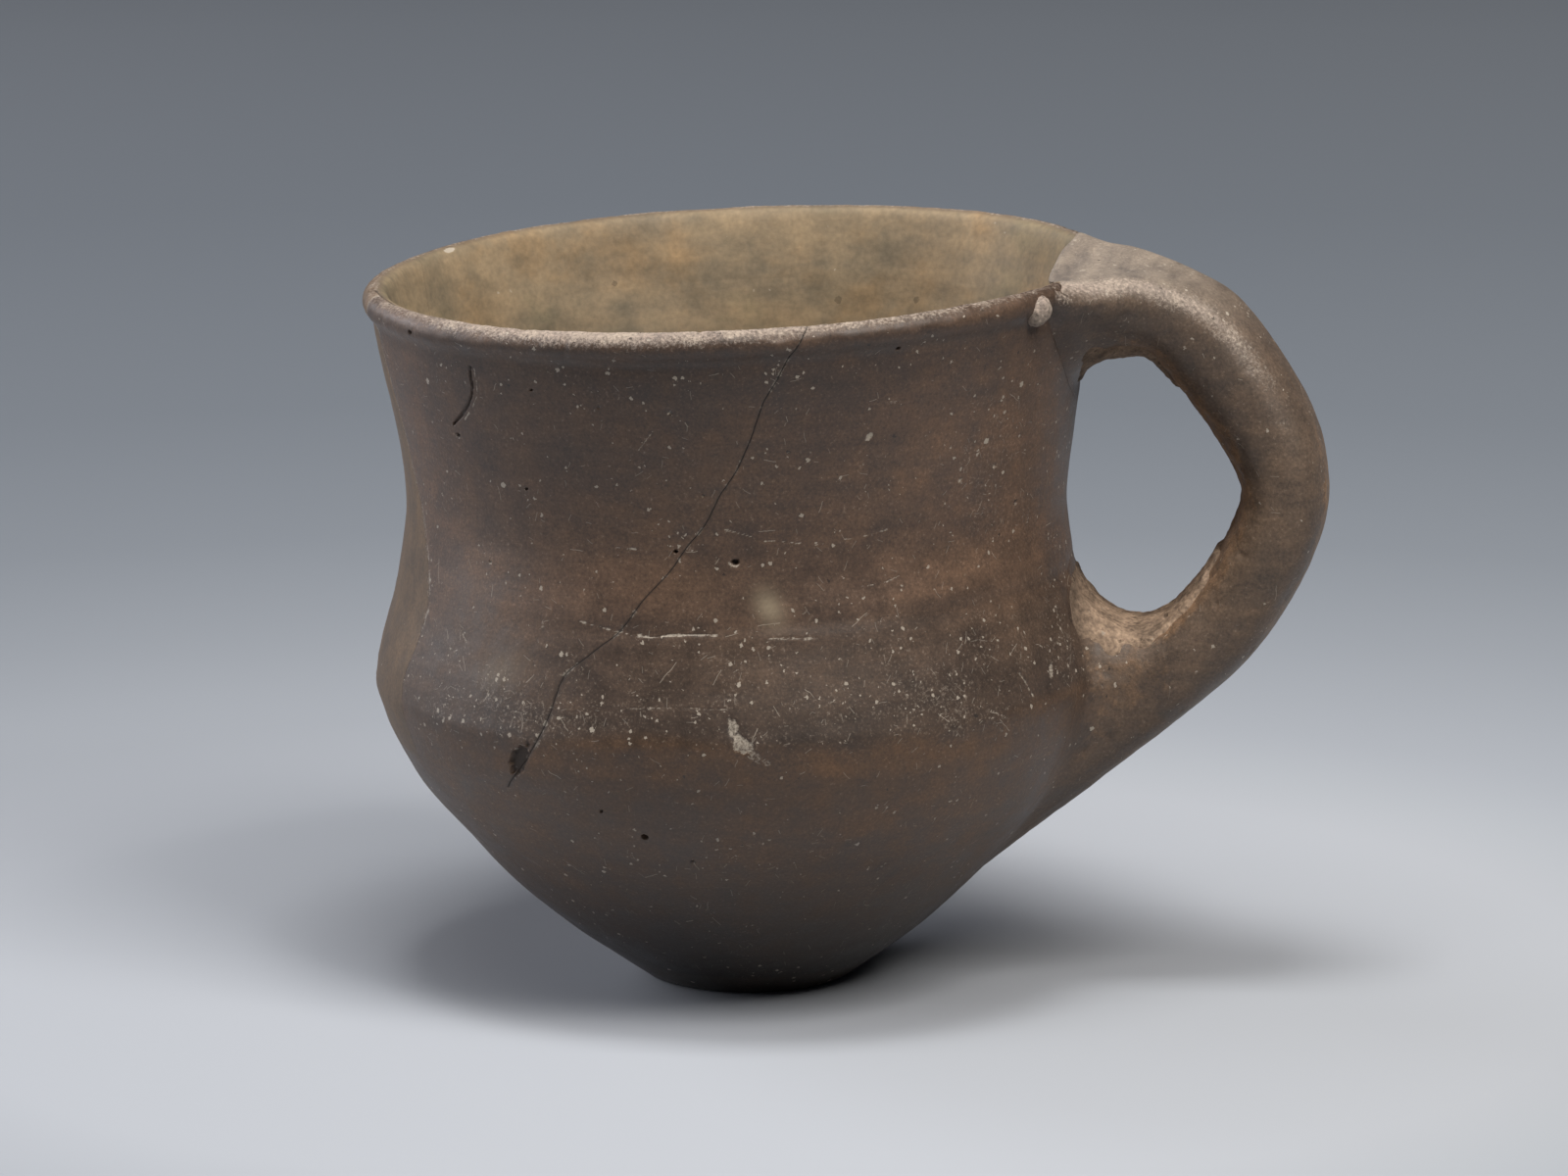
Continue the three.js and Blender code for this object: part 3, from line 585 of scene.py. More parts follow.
    def worked(self, points, angle, station):
        """What the hand, wear and damage do to the smooth wall: its lift, and its colour marks."""
        inside = smooth_step(station, self.crest + 1, self.crest + 5)
        outside = 1 - inside
        past_crest = smooth_step(station, self.crest, self.crest + 3)
        bead = smooth_step(station, self.lip + 1.4, self.lip + 3.4) * (1 - past_crest)
        broad = 0.2 * clay_noise(points, 27, 1) + 0.09 * clay_noise(points, 11, 2) - 0.14
        far_side = 1 - smooth_step(abs(degrees_apart(angle, 180)), 20, 62)
        broad -= 0.95 * far_side * np.exp(-((station - 33) / 13) ** 4)
        # The neck was drawn out a little towards the handle
        broad += 0.8 * np.exp(-(degrees_apart(angle, 0) / 26) ** 2) * np.exp(-((station - 81) / 10) ** 2)
        strokes = 0.04 * clay_noise(points * (1, 1, 9), 22, 3) + 0.02 * clay_noise(points * (1, 1, 5), 7, 4)
        wave = 1.4 * clay_noise(points * (1, 1, 0.2), 30, 5)
        belly = 0.2 * np.exp(-((station - 46.6 - 0.4 * wave) / 1.5) ** 2)
        belly -= 0.14 * np.exp(-((station - 43.2 - 0.4 * wave) / 2.0) ** 2)
        shoulder = 0.1 * np.exp(-((station - 60.6 - wave) / 1.3) ** 2)
        shoulder -= 0.16 * np.exp(-((station - 63.0 - wave) / 1.0) ** 2)
        worn_bead = 0.07 * clay_noise(points, 2.1, 6) + 0.05 * clay_noise(points, 0.8, 7) - 0.06
        front = np.exp(-(degrees_apart(angle, -104) / 42) ** 2)
        nicks = 0.3 * front * smooth_step(clay_noise(points, 2.2, 8), 0.5, 0.8)
        pocked = 0.06 * clay_noise(points, 1.6, 9) * smooth_step(station, 40, 50)
        pocked *= 1 - smooth_step(station, 56, 66)
        wiped = 0.09 * clay_noise(points * (1, 1, 4), 14, 10) + 0.04 * clay_noise(points * (1, 1, 8), 9, 13)
        round_front = degrees_apart(angle, -125)
        shoulder *= smooth_step(round_front, -4, 24) + smooth_step(-round_front, 40, 90)
        lift = broad + outside * (strokes + belly + shoulder + pocked) + bead * (worn_bead - nicks)
        lift += inside * wiped
        cut, pale, dark = self.marks(points, angle, station)
        lift += np.where(station < self.crest, cut, np.maximum(cut, -0.1))
        below = self.crest - station
        band = 3.0 + 2.3 * front
        worn = (1 - smooth_step(below, 0.1 * band, band)) * (1 - smooth_step(-below, 0.2, 2.2))
        worn *= 0.45 + 0.55 * front
        return lift, {
            "pale": pale, "dark": dark, "worn": worn, "rolled": 1 - smooth_step(-below, 0.4, 3.2),
            # Smoke and wear tones, with painted shade and painted highlights
            "tone": self.soft_patches(angle, station, SMOKE_WEAR_AND_PAINTED_LIGHT),
            "smudge": self.soft_patches(angle, station, SMUDGES),
            "gritty": self.soft_patches(angle, station, GRITTY),
            "skin": np.column_stack([np.radians(angle) * SKIN_RADIUS, station, np.zeros(len(angle))]) * MM,
        }

    def sunk(self, angle, station):
        """How far the wall draws back where the strap's clay covers it."""
        upper = self.root_share(angle, station, 0)
        lower = self.root_share(angle, station, 1)
        return 1.3 * (1 - smooth_step(upper, 0.8, 0.985)) + 1.2 * (1 - smooth_step(lower, 0.8, 0.985))

    def surface(self, angle, station, lift=0.0):
        """Points on the worked wall, before the strap's clay covers it."""
        points, normals = self.clay(angle, station)
        rise = self.worked(points, angle, station)[0] + lift
        return points + normals * rise[:, None]


class Strap:
    """The skin of the handle as a grid of points, round and along it, from the rim to the belly."""

    def __init__(self, pot, sizes, sides=132, step=0.5):
        line = np.array(STRAP_LINE)
        knots = np.concatenate([[0], np.cumsum(np.sqrt(np.hypot(*np.diff(line, axis=0).T)))])
        self.path = flow_through(knots, line, np.linspace(0, knots[-1], 800))
        self.thickness = sizes.strap_thickness / MM
        self.width = sizes.strap_width / MM
        turns = np.arange(sides) * 360 / sides
        turn = np.radians(turns)
        upper = round_the_strap(UPPER_ROOT, turns, 1)
        lower = round_the_strap(LOWER_ROOT, turns, 1)
        rings = [pot.surface(upper[:, 0], upper[:, 1], 0.01)]
        rings += [round_the_strap(keys, turns, 2) for keys in UPPER_CAGE]
        # The far edge of the saddle stands a little higher than the near one
        for ring, lift in zip(rings[1:3], (0.6, 0.3)):
            ring[:, 2] += lift * smooth_step(ring[:, 1], 5, 14)
        ends = 0.67 + 0.06 * np.sin(turn)
        rings += [self.section(turn, 0.2 + (ends - 0.2) * part) for part in np.linspace(0, 1, 12)]
        last = len(rings) - 1
        foot = pot.surface(lower[:, 0], lower[:, 1], 0.01)
        middle = ROOT_MIDDLES[1]
        inward = np.column_stack([lower[:, 0] * 0.98, lower[:, 1] + (middle - lower[:, 1]) * 0.02])
        up_wall = pot.surface(*inward.T) - foot
        up_wall /= np.linalg.norm(up_wall, axis=1)[:, None]
        along_strap = rings[-1] - rings[-2]
        along_strap /= np.linalg.norm(along_strap, axis=1)[:, None]
        pull, hold = round_the_strap(LOWER_FLOW, turns).T[:, :, None]
        gap = np.linalg.norm(rings[-1] - foot, axis=1)[:, None]
        first = rings[-1] + along_strap * hold * gap
        second = foot + up_wall * pull * gap
        for t in (0.17, 0.34, 0.5, 0.67, 0.84, 1):
            s = 1 - t
            ring = s ** 3 * rings[last] + 3 * s * s * t * first
            rings.append(ring + 3 * s * t * t * second + t ** 3 * foot)
        rings = np.array(rings)
        gaps = np.linalg.norm(np.diff(rings, axis=0), axis=2).mean(axis=1)
        at = np.concatenate([[0], np.cumsum(gaps)])
        self.length = at[-1]
        self.rows = int(self.length / step)
        self.at = np.linspace(0, self.length, self.rows + 1)
        self.points = flow_through(at, rings, self.at)
        self.sides = sides
        self.roots = (upper, lower)
        around = np.roll(self.points, -1, axis=1) - np.roll(self.points, 1, axis=1)
        normals = np.cross(np.gradient(self.points, axis=0), around)
        normals /= np.linalg.norm(normals, axis=2)[:, :, None]
        middle = self.points.mean(axis=1, keepdims=True)
        if ((self.points - middle) * normals).sum(axis=2)[self.rows // 2].mean() < 0:
            normals = -normals
        self.normals = normals

    def section(self, turn, along):
        """Points of the free run: turn round its section in radians, and 0 to 1 along its line."""
        run = np.concatenate([[0], np.cumsum(np.hypot(*np.diff(self.path, axis=0).T))])
        run /= run[-1]
        way = np.gradient(self.path, run, axis=0)
        x, z, way_x, way_z = (np.interp(along, run, column) for column in (*self.path.T, *way.T))
        size = np.hypot(way_x, way_z)
        out_x, out_z = -way_z / size, way_x / size
        depth = smooth_through(STRAP_THICKNESS)(along) * self.thickness / 2
        width = smooth_through(STRAP_WIDTH)(along) * self.width / 2
        cos, sin = np.cos(turn), np.sin(turn)
        across = np.sign(cos) * abs(cos) ** 0.8
        proud = np.sign(sin) * abs(sin) ** 0.8
        dish = np.where(sin > 0, np.interp(along, (0, 0.1, 0.3), (1.2, 1.2, 0)) * (1 - across ** 2), 0)
        # Under the arch the clay was left thicker
        thicker = np.interp(along, (0.1, 0.2, 0.27, 0.42), (0.8, 1.3, 1.3, 0)) * abs(proud)
        dish += np.where(sin < 0, thicker, 0)
        lift = depth * proud - dish
        return np.column_stack([x + out_x * lift, width * across, z + out_z * lift])

    def on_skin(self, turns, along):
        """Points and normals of the skin at turns in degrees and millimetres along it."""
        column = (np.asarray(turns) % 360) / 360 * self.sides
        row = np.clip(np.asarray(along) / self.length, 0, 1) * self.rows
        i = np.minimum(np.floor(row).astype(int), self.rows - 1)
        j = np.floor(column).astype(int) % self.sides
        down = (row - i)[:, None]
        over = (column - np.floor(column))[:, None]
        across = (j + 1) % self.sides
        found = []
        for grid in (self.points, self.normals):
            near = grid[i, j] * (1 - over) + grid[i, across] * over
            far = grid[i + 1, j] * (1 - over) + grid[i + 1, across] * over
            found.append(near * (1 - down) + far * down)
        return found


def object_mode():
    if bpy.context.mode != "OBJECT":
        bpy.ops.object.mode_set(mode="OBJECT")
    bpy.ops.object.select_all(action="DESELECT")


def edit_faces(piece, chosen):
    """Opens a piece in edit mode with only the chosen faces selected."""
    object_mode()
    mesh = piece.data
    mesh.vertices.foreach_set("select", np.zeros(len(mesh.vertices), bool))
    mesh.edges.foreach_set("select", np.zeros(len(mesh.edges), bool))
    mesh.polygons.foreach_set("select", np.ascontiguousarray(chosen, bool))
    piece.select_set(True)
    bpy.context.view_layer.objects.active = piece
    bpy.context.tool_settings.mesh_select_mode = (False, False, True)
    bpy.ops.object.mode_set(mode="EDIT")


def vertex_places(piece):
    places = np.empty(len(piece.data.vertices) * 3)
    piece.data.vertices.foreach_get("co", places)
    return places.reshape(-1, 3)


def face_middles(piece):
    middles = np.empty(len(piece.data.polygons) * 3)
    piece.data.polygons.foreach_get("center", middles)
    return middles.reshape(-1, 3)


def move_vertices(piece, places):
    piece.data.vertices.foreach_set("co", np.ascontiguousarray(places, float).ravel())
    piece.data.update()


def colour_marks(piece, **marks):
    """Keeps a number or a vector for each vertex under each name, for the materials to read."""
    for name, values in marks.items():
        kind, slot = ("FLOAT", "value") if values.ndim == 1 else ("FLOAT_VECTOR", "vector")
        layer = piece.data.attributes.new(name, kind, "POINT")
        layer.data.foreach_set(slot, np.ascontiguousarray(values, float).ravel())


def clay_sheet(name, columns, rows):
    """A flat sheet of clay one unit wide and high, finely divided."""
    object_mode()
    middle = (0.5, 0.5, 0)
    bpy.ops.mesh.primitive_grid_add(x_subdivisions=columns, y_subdivisions=rows, size=1, location=middle)
    piece = bpy.context.active_object
    piece.name = name
    piece.data.name = name
    bpy.ops.object.transform_apply(location=True)
    return piece


def clay_slab(name, columns, rows):
    """A sheet drawn up into a slab one unit thick."""
    piece = clay_sheet(name, columns, rows)
    bpy.ops.object.mode_set(mode="EDIT")
    bpy.ops.mesh.select_all(action="SELECT")
    bpy.ops.mesh.extrude_region_move(TRANSFORM_OT_translate={"value": (0, 0, 1)})
    object_mode()
    return piece


def cut_off_ends(piece, sides):
    """Takes the slab's narrow faces away where it will meet itself."""
    middles = face_middles(piece)
    ends = np.zeros(len(middles), bool)
    for axis, value in sides:
        ends |= abs(middles[:, axis] - value) < 1e-6
    edit_faces(piece, ends)
    bpy.ops.mesh.delete(type="FACE")
    object_mode()


def refine(piece, wanted):
    """Halves the faces of the slab that wanted(x, y, z) picks by place."""
    edit_faces(piece, wanted(*face_middles(piece).T))
    bpy.ops.mesh.subdivide(number_cuts=1, quadcorner="INNERVERT")
    object_mode()


def close_piece(piece, recalculate=False):
    """Merges what meets, turns loose normals outwards where asked, and smooths all but the sharp edges."""
    edit_faces(piece, np.ones(len(piece.data.polygons), bool))
    bpy.ops.mesh.remove_doubles(threshold=2e-6)
    if recalculate:
        bpy.ops.mesh.select_all(action="SELECT")
        bpy.ops.mesh.normals_make_consistent(inside=False)
    object_mode()
    piece.select_set(True)
    bpy.context.view_layer.objects.active = piece
    bpy.ops.object.shade_smooth_by_angle(angle=math.radians(38))
    object_mode()


def hand_over(piece, node, slot, *finishes):
    """The piece takes its materials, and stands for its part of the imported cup."""
    piece.data.materials.clear()
    for material in finishes:
        piece.data.materials.append(material)
    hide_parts(node)
    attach(piece, "root")


def make_wall(pot, name, slot, outside, inside, grid, low, high, start, end, crack_sides=()):
    """One piece of wall: a slab, divided where it is marked or broken, rolled up and closed.

    On the slab x runs between its two edges, y between two stations and z from inside out.
    """
    piece = clay_slab(name + "_clay", *grid)
    whole = start(np.zeros(1), False)[0] + 360 == end(np.zeros(1), False)[0]
    gone = [(0, 0), (0, 1)] if whole else []
    if high == pot.crest:
        gone.append((1, 1))
    cut_off_ends(piece, gone)

    def on_wall(x, y, within):
        station = low + (high - low) * y
        first = start(station, within)
        return first + (end(station, within) - first) * x, station

    for reach in (1.3, 0.45):
        def wanted(x, y, z, reach=reach):
            angle, station = on_wall(x, y, False)
            found = pot.near_a_mark(angle, station, reach)
            for side in crack_sides:
                across = end(station, False) - start(station, False)
                found |= abs(x - side) * np.radians(across) * SKIN_RADIUS < reach * 0.9
            return found & (z > 0.999)

        refine(piece, wanted)
    if high == pot.crest and high - low > 30:
        refine(piece, lambda x, y, z: low + (high - low) * y > pot.lip)
    inner_faces = face_middles(piece)[:, 2] < 0.001
    x, y, z = vertex_places(piece).T
    angle, station = on_wall(x, y, z < 0.5)
    past = np.where(z < 0.5, 2 * pot.crest - station, station)
    points, normals = pot.clay(angle, past)
    lift, marks = pot.worked(points, angle, past)
    lift -= pot.sunk(angle, past)
    colour_marks(piece, height=points[:, 2] / FULL_HEIGHT, **marks)
    move_vertices(piece, leaned(points + normals * lift[:, None]))
    hand_over(piece, name, slot, outside, inside)
    piece.data.polygons.foreach_set("material_index", inner_faces.astype(np.int32))
    close_piece(piece)


def add_node(tree, kind, inputs=None, stops=None, out=0, **settings):
    """Adds a shader node with its settings, its inputs and a ramp's stops, and gives one of its outputs."""
    node = tree.nodes.new("ShaderNode" + kind)
    for name, value in settings.items():
        setattr(node, name, value)
    for name, value in (inputs or {}).items():
        if isinstance(value, bpy.types.NodeSocket):
            tree.links.new(value, node.inputs[name])
        else:
            node.inputs[name].default_value = value
    if stops:
        elements = node.color_ramp.elements
        while len(elements) < len(stops):
            elements.new(0.5)
        for element, (place, colour) in zip(elements, stops):
            element.position = place
            element.color = (*(linear(colour) if isinstance(colour, str) else colour), 1)
    return node.outputs[out] if node.outputs else node


def shade(colour, share):
    return tuple(part * share for part in colour)


def new_material(name):
    """An empty material with a Principled shader, and its object coordinates."""
    material = bpy.data.materials.new(name)
    material.use_nodes = True
    tree = material.node_tree
    tree.nodes.clear()
    surface = add_node(tree, "BsdfPrincipled")
    add_node(tree, "OutputMaterial", {"Surface": surface})
    place = add_node(tree, "TexCoord", out="Object")
    return material, tree, surface.node, place


def finish(tree, shader, colour, height, rough, depth=0.1):
    """Puts colour, roughness and a bump of depth millimetres on the shader."""
    bump = add_node(tree, "Bump", {"Height": height, "Distance": depth * MM, "Strength": 1.0})
    tree.links.new(colour, shader.inputs["Base Color"])
    tree.links.new(rough, shader.inputs["Roughness"])
    tree.links.new(bump, shader.inputs["Normal"])


def mottled(tree, colour, pattern, dark, light, low=0.3, high=0.7):
    """Tones a colour by a pattern.

    A tint of #bcbcbc leaves the colour as it is, and darker and lighter tints darken and lighten it.
    """
    tint = add_node(tree, "ValToRGB", {"Fac": pattern}, stops=((low, dark), (high, light)))
    both = {0: 1.0, 6: colour, 7: tint}
    return add_node(tree, "Mix", both, out=2, data_type="RGBA", blend_type="OVERLAY")


def weathered(tree, colour, *layers):
    """Tones a colour by layers of noise, and gives the colour and their patterns.

    A layer is its coordinates, the size of its lumps in millimetres, detail, roughness, dark and light
    tint, and where between 0 and 1 the two tints stand.
    """
    patterns = []
    for place, size, detail, roughness, dark, light, low, high in layers:
        noise = {"Vector": place, "Scale": 1 / (size * MM), "Detail": detail, "Roughness": roughness}
        patterns.append(add_node(tree, "TexNoise", noise))
        colour = mottled(tree, colour, patterns[-1], dark, light, low, high)
    return colour, patterns


def built_up(tree, *parts):
    """A height made of patterns, each with its weight."""
    height = 0.0
    for pattern, weight in parts:
        height = add_node(tree, "Math", {0: pattern, 1: weight, 2: height}, operation="MULTIPLY_ADD")
    return height


def laid_over(tree, colour, share, strength, over):
    """Lays a colour over another where share says, at a strength."""
    share = add_node(tree, "Math", {0: share, 1: strength}, operation="MULTIPLY")
    over = over if isinstance(over, bpy.types.NodeSocket) else (*over, 1)
    return add_node(tree, "Mix", {0: share, 6: colour, 7: over}, out=2, data_type="RGBA")


def shaken(tree, place):
    """Coordinates shaken by up to 0.35 mm, so that no grain comes out round."""
    shake = add_node(tree, "TexNoise", {"Vector": place, "Scale": 1 / (0.4 * MM), "Detail": 2.0}, out="Color")
    shake = add_node(tree, "VectorMath", {0: shake, 1: (0.5, 0.5, 0.5)}, operation="SUBTRACT")
    return add_node(tree, "VectorMath", {0: shake, 1: (0.7 * MM,) * 3, 2: place}, operation="MULTIPLY_ADD")


def scattered_grit(tree, place, spacing, biggest, share):
    """Grains of grit about spacing millimetres apart and up to biggest across, in a share of the places."""
    cells = add_node(tree, "TexVoronoi", {"Vector": place, "Scale": 1 / (spacing * MM)})
    chance = add_node(tree, "SeparateColor", {"Color": cells.node.outputs["Color"]})
    size = add_node(tree, "Math", {0: chance, 1: 3.0}, operation="POWER")
    grain = {0: size, 1: 0.32 * biggest / spacing, 2: 0.18 * biggest / spacing}
    reach = add_node(tree, "Math", grain, operation="MULTIPLY_ADD")
    near = add_node(tree, "Math", {0: cells, 1: reach}, operation="LESS_THAN")
    there = add_node(tree, "Math", {0: chance.node.outputs[1], 1: share}, operation="LESS_THAN")
    return add_node(tree, "Math", {0: near, 1: there}, operation="MULTIPLY")


def chalky_dust(tree, grains, cover):
    """Chalky dust lodged between the grains of the clay, thicker where cover is high."""
    thick = add_node(tree, "Math", {0: cover, 1: 0.17, 2: grains}, operation="MULTIPLY_ADD")
    return add_node(tree, "MapRange", {"Value": thick, "From Min": 0.63, "From Max": 0.74})


def short_scratches(tree, place, spacing, share):
    """Fine straight scratches every way, one in each of a share of cells spacing millimetres wide.

    Real ones are about 0.05 mm wide. They are drawn 0.1 mm wide so that they show.
    """
    skin = add_node(tree, "Attribute", out="Vector", attribute_name="skin")
    bend = add_node(tree, "TexNoise", {"Vector": place, "Scale": 1 / (2 * MM), "Detail": 2.0}, out="Color")
    bend = add_node(tree, "VectorMath", {0: bend, 1: (0.8 * MM,) * 3, 2: skin}, operation="MULTIPLY_ADD")
    spot = add_node(tree, "VectorMath", {0: bend, "Scale": 1 / (spacing * MM)}, operation="SCALE")
    cells = add_node(tree, "TexVoronoi", {"Vector": spot, "Scale": 1.0}, voronoi_dimensions="2D").node
    chance = add_node(tree, "SeparateColor", {"Color": cells.outputs["Color"]}).node
    off = add_node(tree, "VectorMath", {0: spot, 1: cells.outputs["Position"]}, operation="SUBTRACT")
    turn = add_node(tree, "Math", {0: chance.outputs[0], 1: 6.3}, operation="MULTIPLY")
    off = add_node(tree, "VectorRotate", {"Vector": off, "Angle": turn}, rotation_type="Z_AXIS")
    off = add_node(tree, "VectorMath", {0: off}, operation="ABSOLUTE")
    off = add_node(tree, "SeparateXYZ", {0: off}).node
    half = add_node(tree, "Math", {0: chance.outputs[1], 1: 0.55}, operation="MULTIPLY")
    along = add_node(tree, "Math", {0: off.outputs[0], 1: half}, operation="LESS_THAN")
    across = add_node(tree, "Math", {0: off.outputs[1], 1: 0.05 / spacing}, operation="LESS_THAN")
    there = add_node(tree, "Math", {0: chance.outputs[2], 1: share}, operation="LESS_THAN")
    line = add_node(tree, "Math", {0: along, 1: across}, operation="MULTIPLY")
    return add_node(tree, "Math", {0: line, 1: there}, operation="MULTIPLY")


def rubbed_rim(tree, place, colours, colour, height, rough):
    """Where the bead is rubbed through its skin to the pale gritty clay.

    It comes in patches 4 mm wide, of 0.5 mm grains with paler stones and dark pores between them.
    """
    worn = add_node(tree, "Attribute", out="Fac", attribute_name="worn")
    patches = add_node(tree, "TexNoise", {"Vector": place, "Scale": 1 / (4 * MM), "Detail": 4.0})
    noise = {"Vector": place, "Scale": 1 / (0.5 * MM), "Detail": 5.0, "Roughness": 0.7}
    grains = add_node(tree, "TexNoise", noise)
    edge = add_node(tree, "Math", {0: patches, 1: 0.6, 2: -0.9}, operation="MULTIPLY_ADD")
    edge = add_node(tree, "Math", {0: grains, 1: 1.3, 2: edge}, operation="MULTIPLY_ADD")
    bare = add_node(tree, "Math", {0: worn, 1: edge}, operation="ADD")
    bare = {"Value": bare, "From Min": 0.3, "From Max": 0.95}
    bare = add_node(tree, "MapRange", bare, interpolation_type="SMOOTHSTEP")
    there = add_node(tree, "MapRange", {"Value": worn, "From Min": 0.0, "From Max": 0.2})
    bare = add_node(tree, "Math", {0: bare, 1: there}, operation="MULTIPLY")
    clay = add_node(tree, "ValToRGB", {"Fac": grains}, stops=(
        (0.34, shade(colours.rim, 0.42)), (0.44, shade(colours.rim, 0.8)), (0.55, tuple(colours.rim)),
        (0.68, shade(colours.rim, 1.35)),
    ))
    clay = mottled(tree, clay, patches, "#aaa6a6", "#c8c4bf")
    rough_place = shaken(tree, place)
    stones = scattered_grit(tree, rough_place, 0.9, 0.55, 0.5)
    clay = laid_over(tree, clay, stones, 0.75, shade(colours.grit, 1.15))
    pores = scattered_grit(tree, rough_place, 1.3, 0.75, 0.45)
    clay = laid_over(tree, clay, pores, 0.75, linear("#2e2620"))
    colour = laid_over(tree, colour, bare, 0.94, clay)
    grit = add_node(tree, "Math", {0: bare, 1: grains}, operation="MULTIPLY")
    height = add_node(tree, "Math", {0: grit, 1: 1.2, 2: height}, operation="MULTIPLY_ADD")
    dull = add_node(tree, "Math", {0: bare, 1: 0.8}, operation="MULTIPLY")
    rough = add_node(tree, "Math", {0: rough, 1: dull}, operation="MAXIMUM")
    return colour, height, rough


def marked_clay(tree, place, colours, colour, rough):
    """The chips, cuts and pits of the old surface, their edges broken into 0.34 mm grains."""
    noise = {"Vector": place, "Scale": 1 / (0.34 * MM), "Detail": 3.0, "Roughness": 0.65}
    grains = add_node(tree, "TexNoise", noise)
    pale, dark = (
        add_node(tree, "Attribute", out="Fac", attribute_name=name) for name in ("pale", "dark")
    )
    torn = add_node(tree, "Math", {0: grains, 1: 1.7, 2: pale}, operation="MULTIPLY_ADD")
    there = add_node(tree, "MapRange", {"Value": pale, "From Min": 0.02, "From Max": 0.15})
    torn = add_node(tree, "MapRange", {"Value": torn, "From Min": 1.2, "From Max": 1.75})
    torn = add_node(tree, "Math", {0: torn, 1: there}, operation="MULTIPLY")
    colour = laid_over(tree, colour, torn, 0.85, tuple(colours.grit))
    colour = laid_over(tree, colour, dark, 0.88, linear("#241b15"))
    marked = add_node(tree, "Math", {0: torn, 1: dark}, operation="MAXIMUM")
    marked = add_node(tree, "Math", {0: marked, 1: 0.8}, operation="MULTIPLY")
    return colour, add_node(tree, "Math", {0: rough, 1: marked}, operation="MAXIMUM")


def finish_wall(tree, shader, place, colours, colour, height, rough):
    """Finishes a material of the wall with its rubbed rim and the marks of the old surface."""
    colour, height, rough = rubbed_rim(tree, place, colours, colour, height, rough)
    colour, rough = marked_clay(tree, place, colours, colour, rough)
    finish(tree, shader, colour, height, rough)


